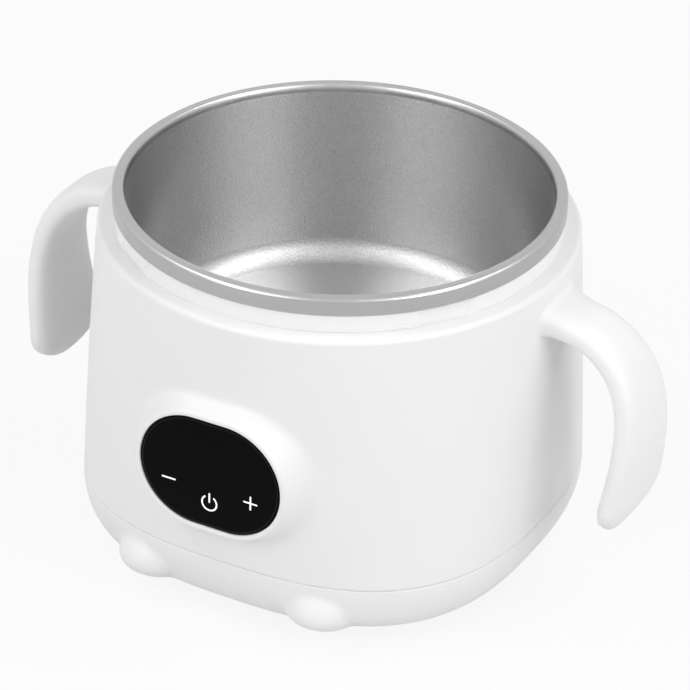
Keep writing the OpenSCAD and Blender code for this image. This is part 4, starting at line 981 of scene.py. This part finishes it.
def flapOutline(inset):
    f = flap
    r = max(f["leastCorner"], f["corner"] - inset)
    x, top = f["halfX"] - inset, f["high"] - inset
    foot = f["halfX"] - f["footIn"] - inset    # narrower at the pin, to swing clear
    footTop = f["low"] + f["footHigh"]
    half = [(foot, f["low"]), (foot, footTop - f["footEdge"]), (foot + f["footEdge"], footTop)]
    half += [(x - side, footTop + up) for side, up in f["footSlope"]]
    half += arc(x - r, top - r, r, 0, 90, 6)
    return half + [(-across, z) for across, z in reversed(half)]


def buildFlap():
    f = flap
    q = f["round"]
    levels = ((q, f["inner"]), (q * 0.3, f["inner"] + q * 0.3), (0, f["inner"] + q), (0, f["face"] - q),
              (q * 0.3, f["face"] - q * 0.3), (q, f["face"]))
    door = loft([[(x, y, z) for x, z in flapOutline(inset)] for inset, y in levels])
    foot, pin = f["halfX"] - f["footIn"], circle(f["pinY"], f["pinZ"], f["barrel"], f["barrelSides"])
    barrel = [[(x, y, z) for y, z in pin] for x in (-foot, foot)]
    top, low, sunk = f["high"] - f["ledgeDrop"], f["high"] - f["ledgeHigh"], f["face"] - f["ledgeSunk"]
    leftSide = [(along - f["ledgeHalf"], out) for along, out in f["ledgeSteps"]]
    ledge = []
    for x, out in leftSide + [(-x, out) for x, out in reversed(leftSide)]:
        slant, full = f["face"] + out * f["ledgeSlant"], f["face"] + out
        ledge.append([(x, sunk, low - 0.3), (x, slant, low), (x, full, low + 0.25),
                      (x, full, top - 0.3), (x, slant, top), (x, sunk, top)])
    return joined(door, loft(barrel), loft(ledge))


makePiece("portFlap", *buildFlap(), whiteShell, "cover", ["port_cover"], "white_shell")
print("port cover built")


# studio: pale floor, white surroundings, soft lamps
studio = {
    "floorHalf": 4.0, "floorColour": (0.74, 0.74, 0.74), "floorWhite": 0.88, "worldLight": 0.38,
    "lampAim": (0, 0, 0.05),
    "lamps": (
        ("leftLamp", (-0.35, -1.15, 0.8), (0.8, 0.9), 6.9),
        ("rightLamp", (1.20, -0.32, 0.8), (0.8, 0.9), 8.3),
        ("leftTopLamp", (-0.75, -0.40, 1.25), (0.6, 0.6), 4.6),
        ("rightTopLamp", (0.75, 0.40, 1.25), (0.6, 0.6), 5.3),
    ),
}


def seenStraight(nodes, links):                # 1 for rays from the camera, a reflection or glass, else 0
    path = nodes.new("ShaderNodeLightPath")
    last = path.outputs["Is Camera Ray"]
    for ray in ("Is Glossy Ray", "Is Transmission Ray"):
        most = nodes.new("ShaderNodeMath")
        most.operation = "MAXIMUM"
        links.new(last, most.inputs[0])
        links.new(path.outputs[ray], most.inputs[1])
        last = most.outputs[0]
    return last


def buildFloor():
    half = studio["floorHalf"]
    mesh = bpy.data.meshes.new("floor")
    mesh.from_pydata([(-half, -half, 0), (half, -half, 0), (half, half, 0), (-half, half, 0)], [], [(0, 1, 2, 3)])
    finish = bpy.data.materials.new("paleFloor")
    finish.use_nodes = True
    nodes, links = finish.node_tree.nodes, finish.node_tree.links
    shader = nodes["Principled BSDF"]
    shader.inputs["Base Color"].default_value = (*studio["floorColour"], 1)
    shader.inputs["Roughness"].default_value = 0.9
    shader.inputs["Specular IOR Level"].default_value = 0.0
    glow = nodes.new("ShaderNodeEmission")
    share = nodes.new("ShaderNodeMath")
    share.operation = "MULTIPLY"
    share.inputs[1].default_value = studio["floorWhite"]
    links.new(seenStraight(nodes, links), share.inputs[0])
    mix = nodes.new("ShaderNodeMixShader")
    links.new(share.outputs[0], mix.inputs["Fac"])
    links.new(shader.outputs[0], mix.inputs[1])
    links.new(glow.outputs[0], mix.inputs[2])
    links.new(mix.outputs[0], nodes["Material Output"].inputs["Surface"])
    mesh.materials.append(finish)
    floor = bpy.data.objects.new("floor", mesh)
    scene.collection.objects.link(floor)


def buildWorld():
    world = bpy.data.worlds.new("whiteRoom")
    scene.world = world
    world.use_nodes = True
    nodes, links = world.node_tree.nodes, world.node_tree.links
    back = nodes["Background"]
    back.inputs["Color"].default_value = (1, 1, 1, 1)
    level = nodes.new("ShaderNodeMapRange")
    level.inputs["To Min"].default_value = studio["worldLight"]
    level.inputs["To Max"].default_value = 1.0
    links.new(seenStraight(nodes, links), level.inputs["Value"])
    links.new(level.outputs["Result"], back.inputs["Strength"])


def buildLamps():
    for name, place, size, power in studio["lamps"]:
        data = bpy.data.lights.new(name, "AREA")
        data.shape, data.size, data.size_y, data.energy = "RECTANGLE", size[0], size[1], power
        lamp = bpy.data.objects.new(name, data)
        lamp.location = place
        lamp.rotation_mode = "QUATERNION"
        lamp.rotation_quaternion = (Vector(studio["lampAim"]) - Vector(place)).to_track_quat("-Z", "Y")
        scene.collection.objects.link(lamp)


buildFloor()
buildWorld()
buildLamps()
scene.view_settings.view_transform = "Standard"
print("studio set")
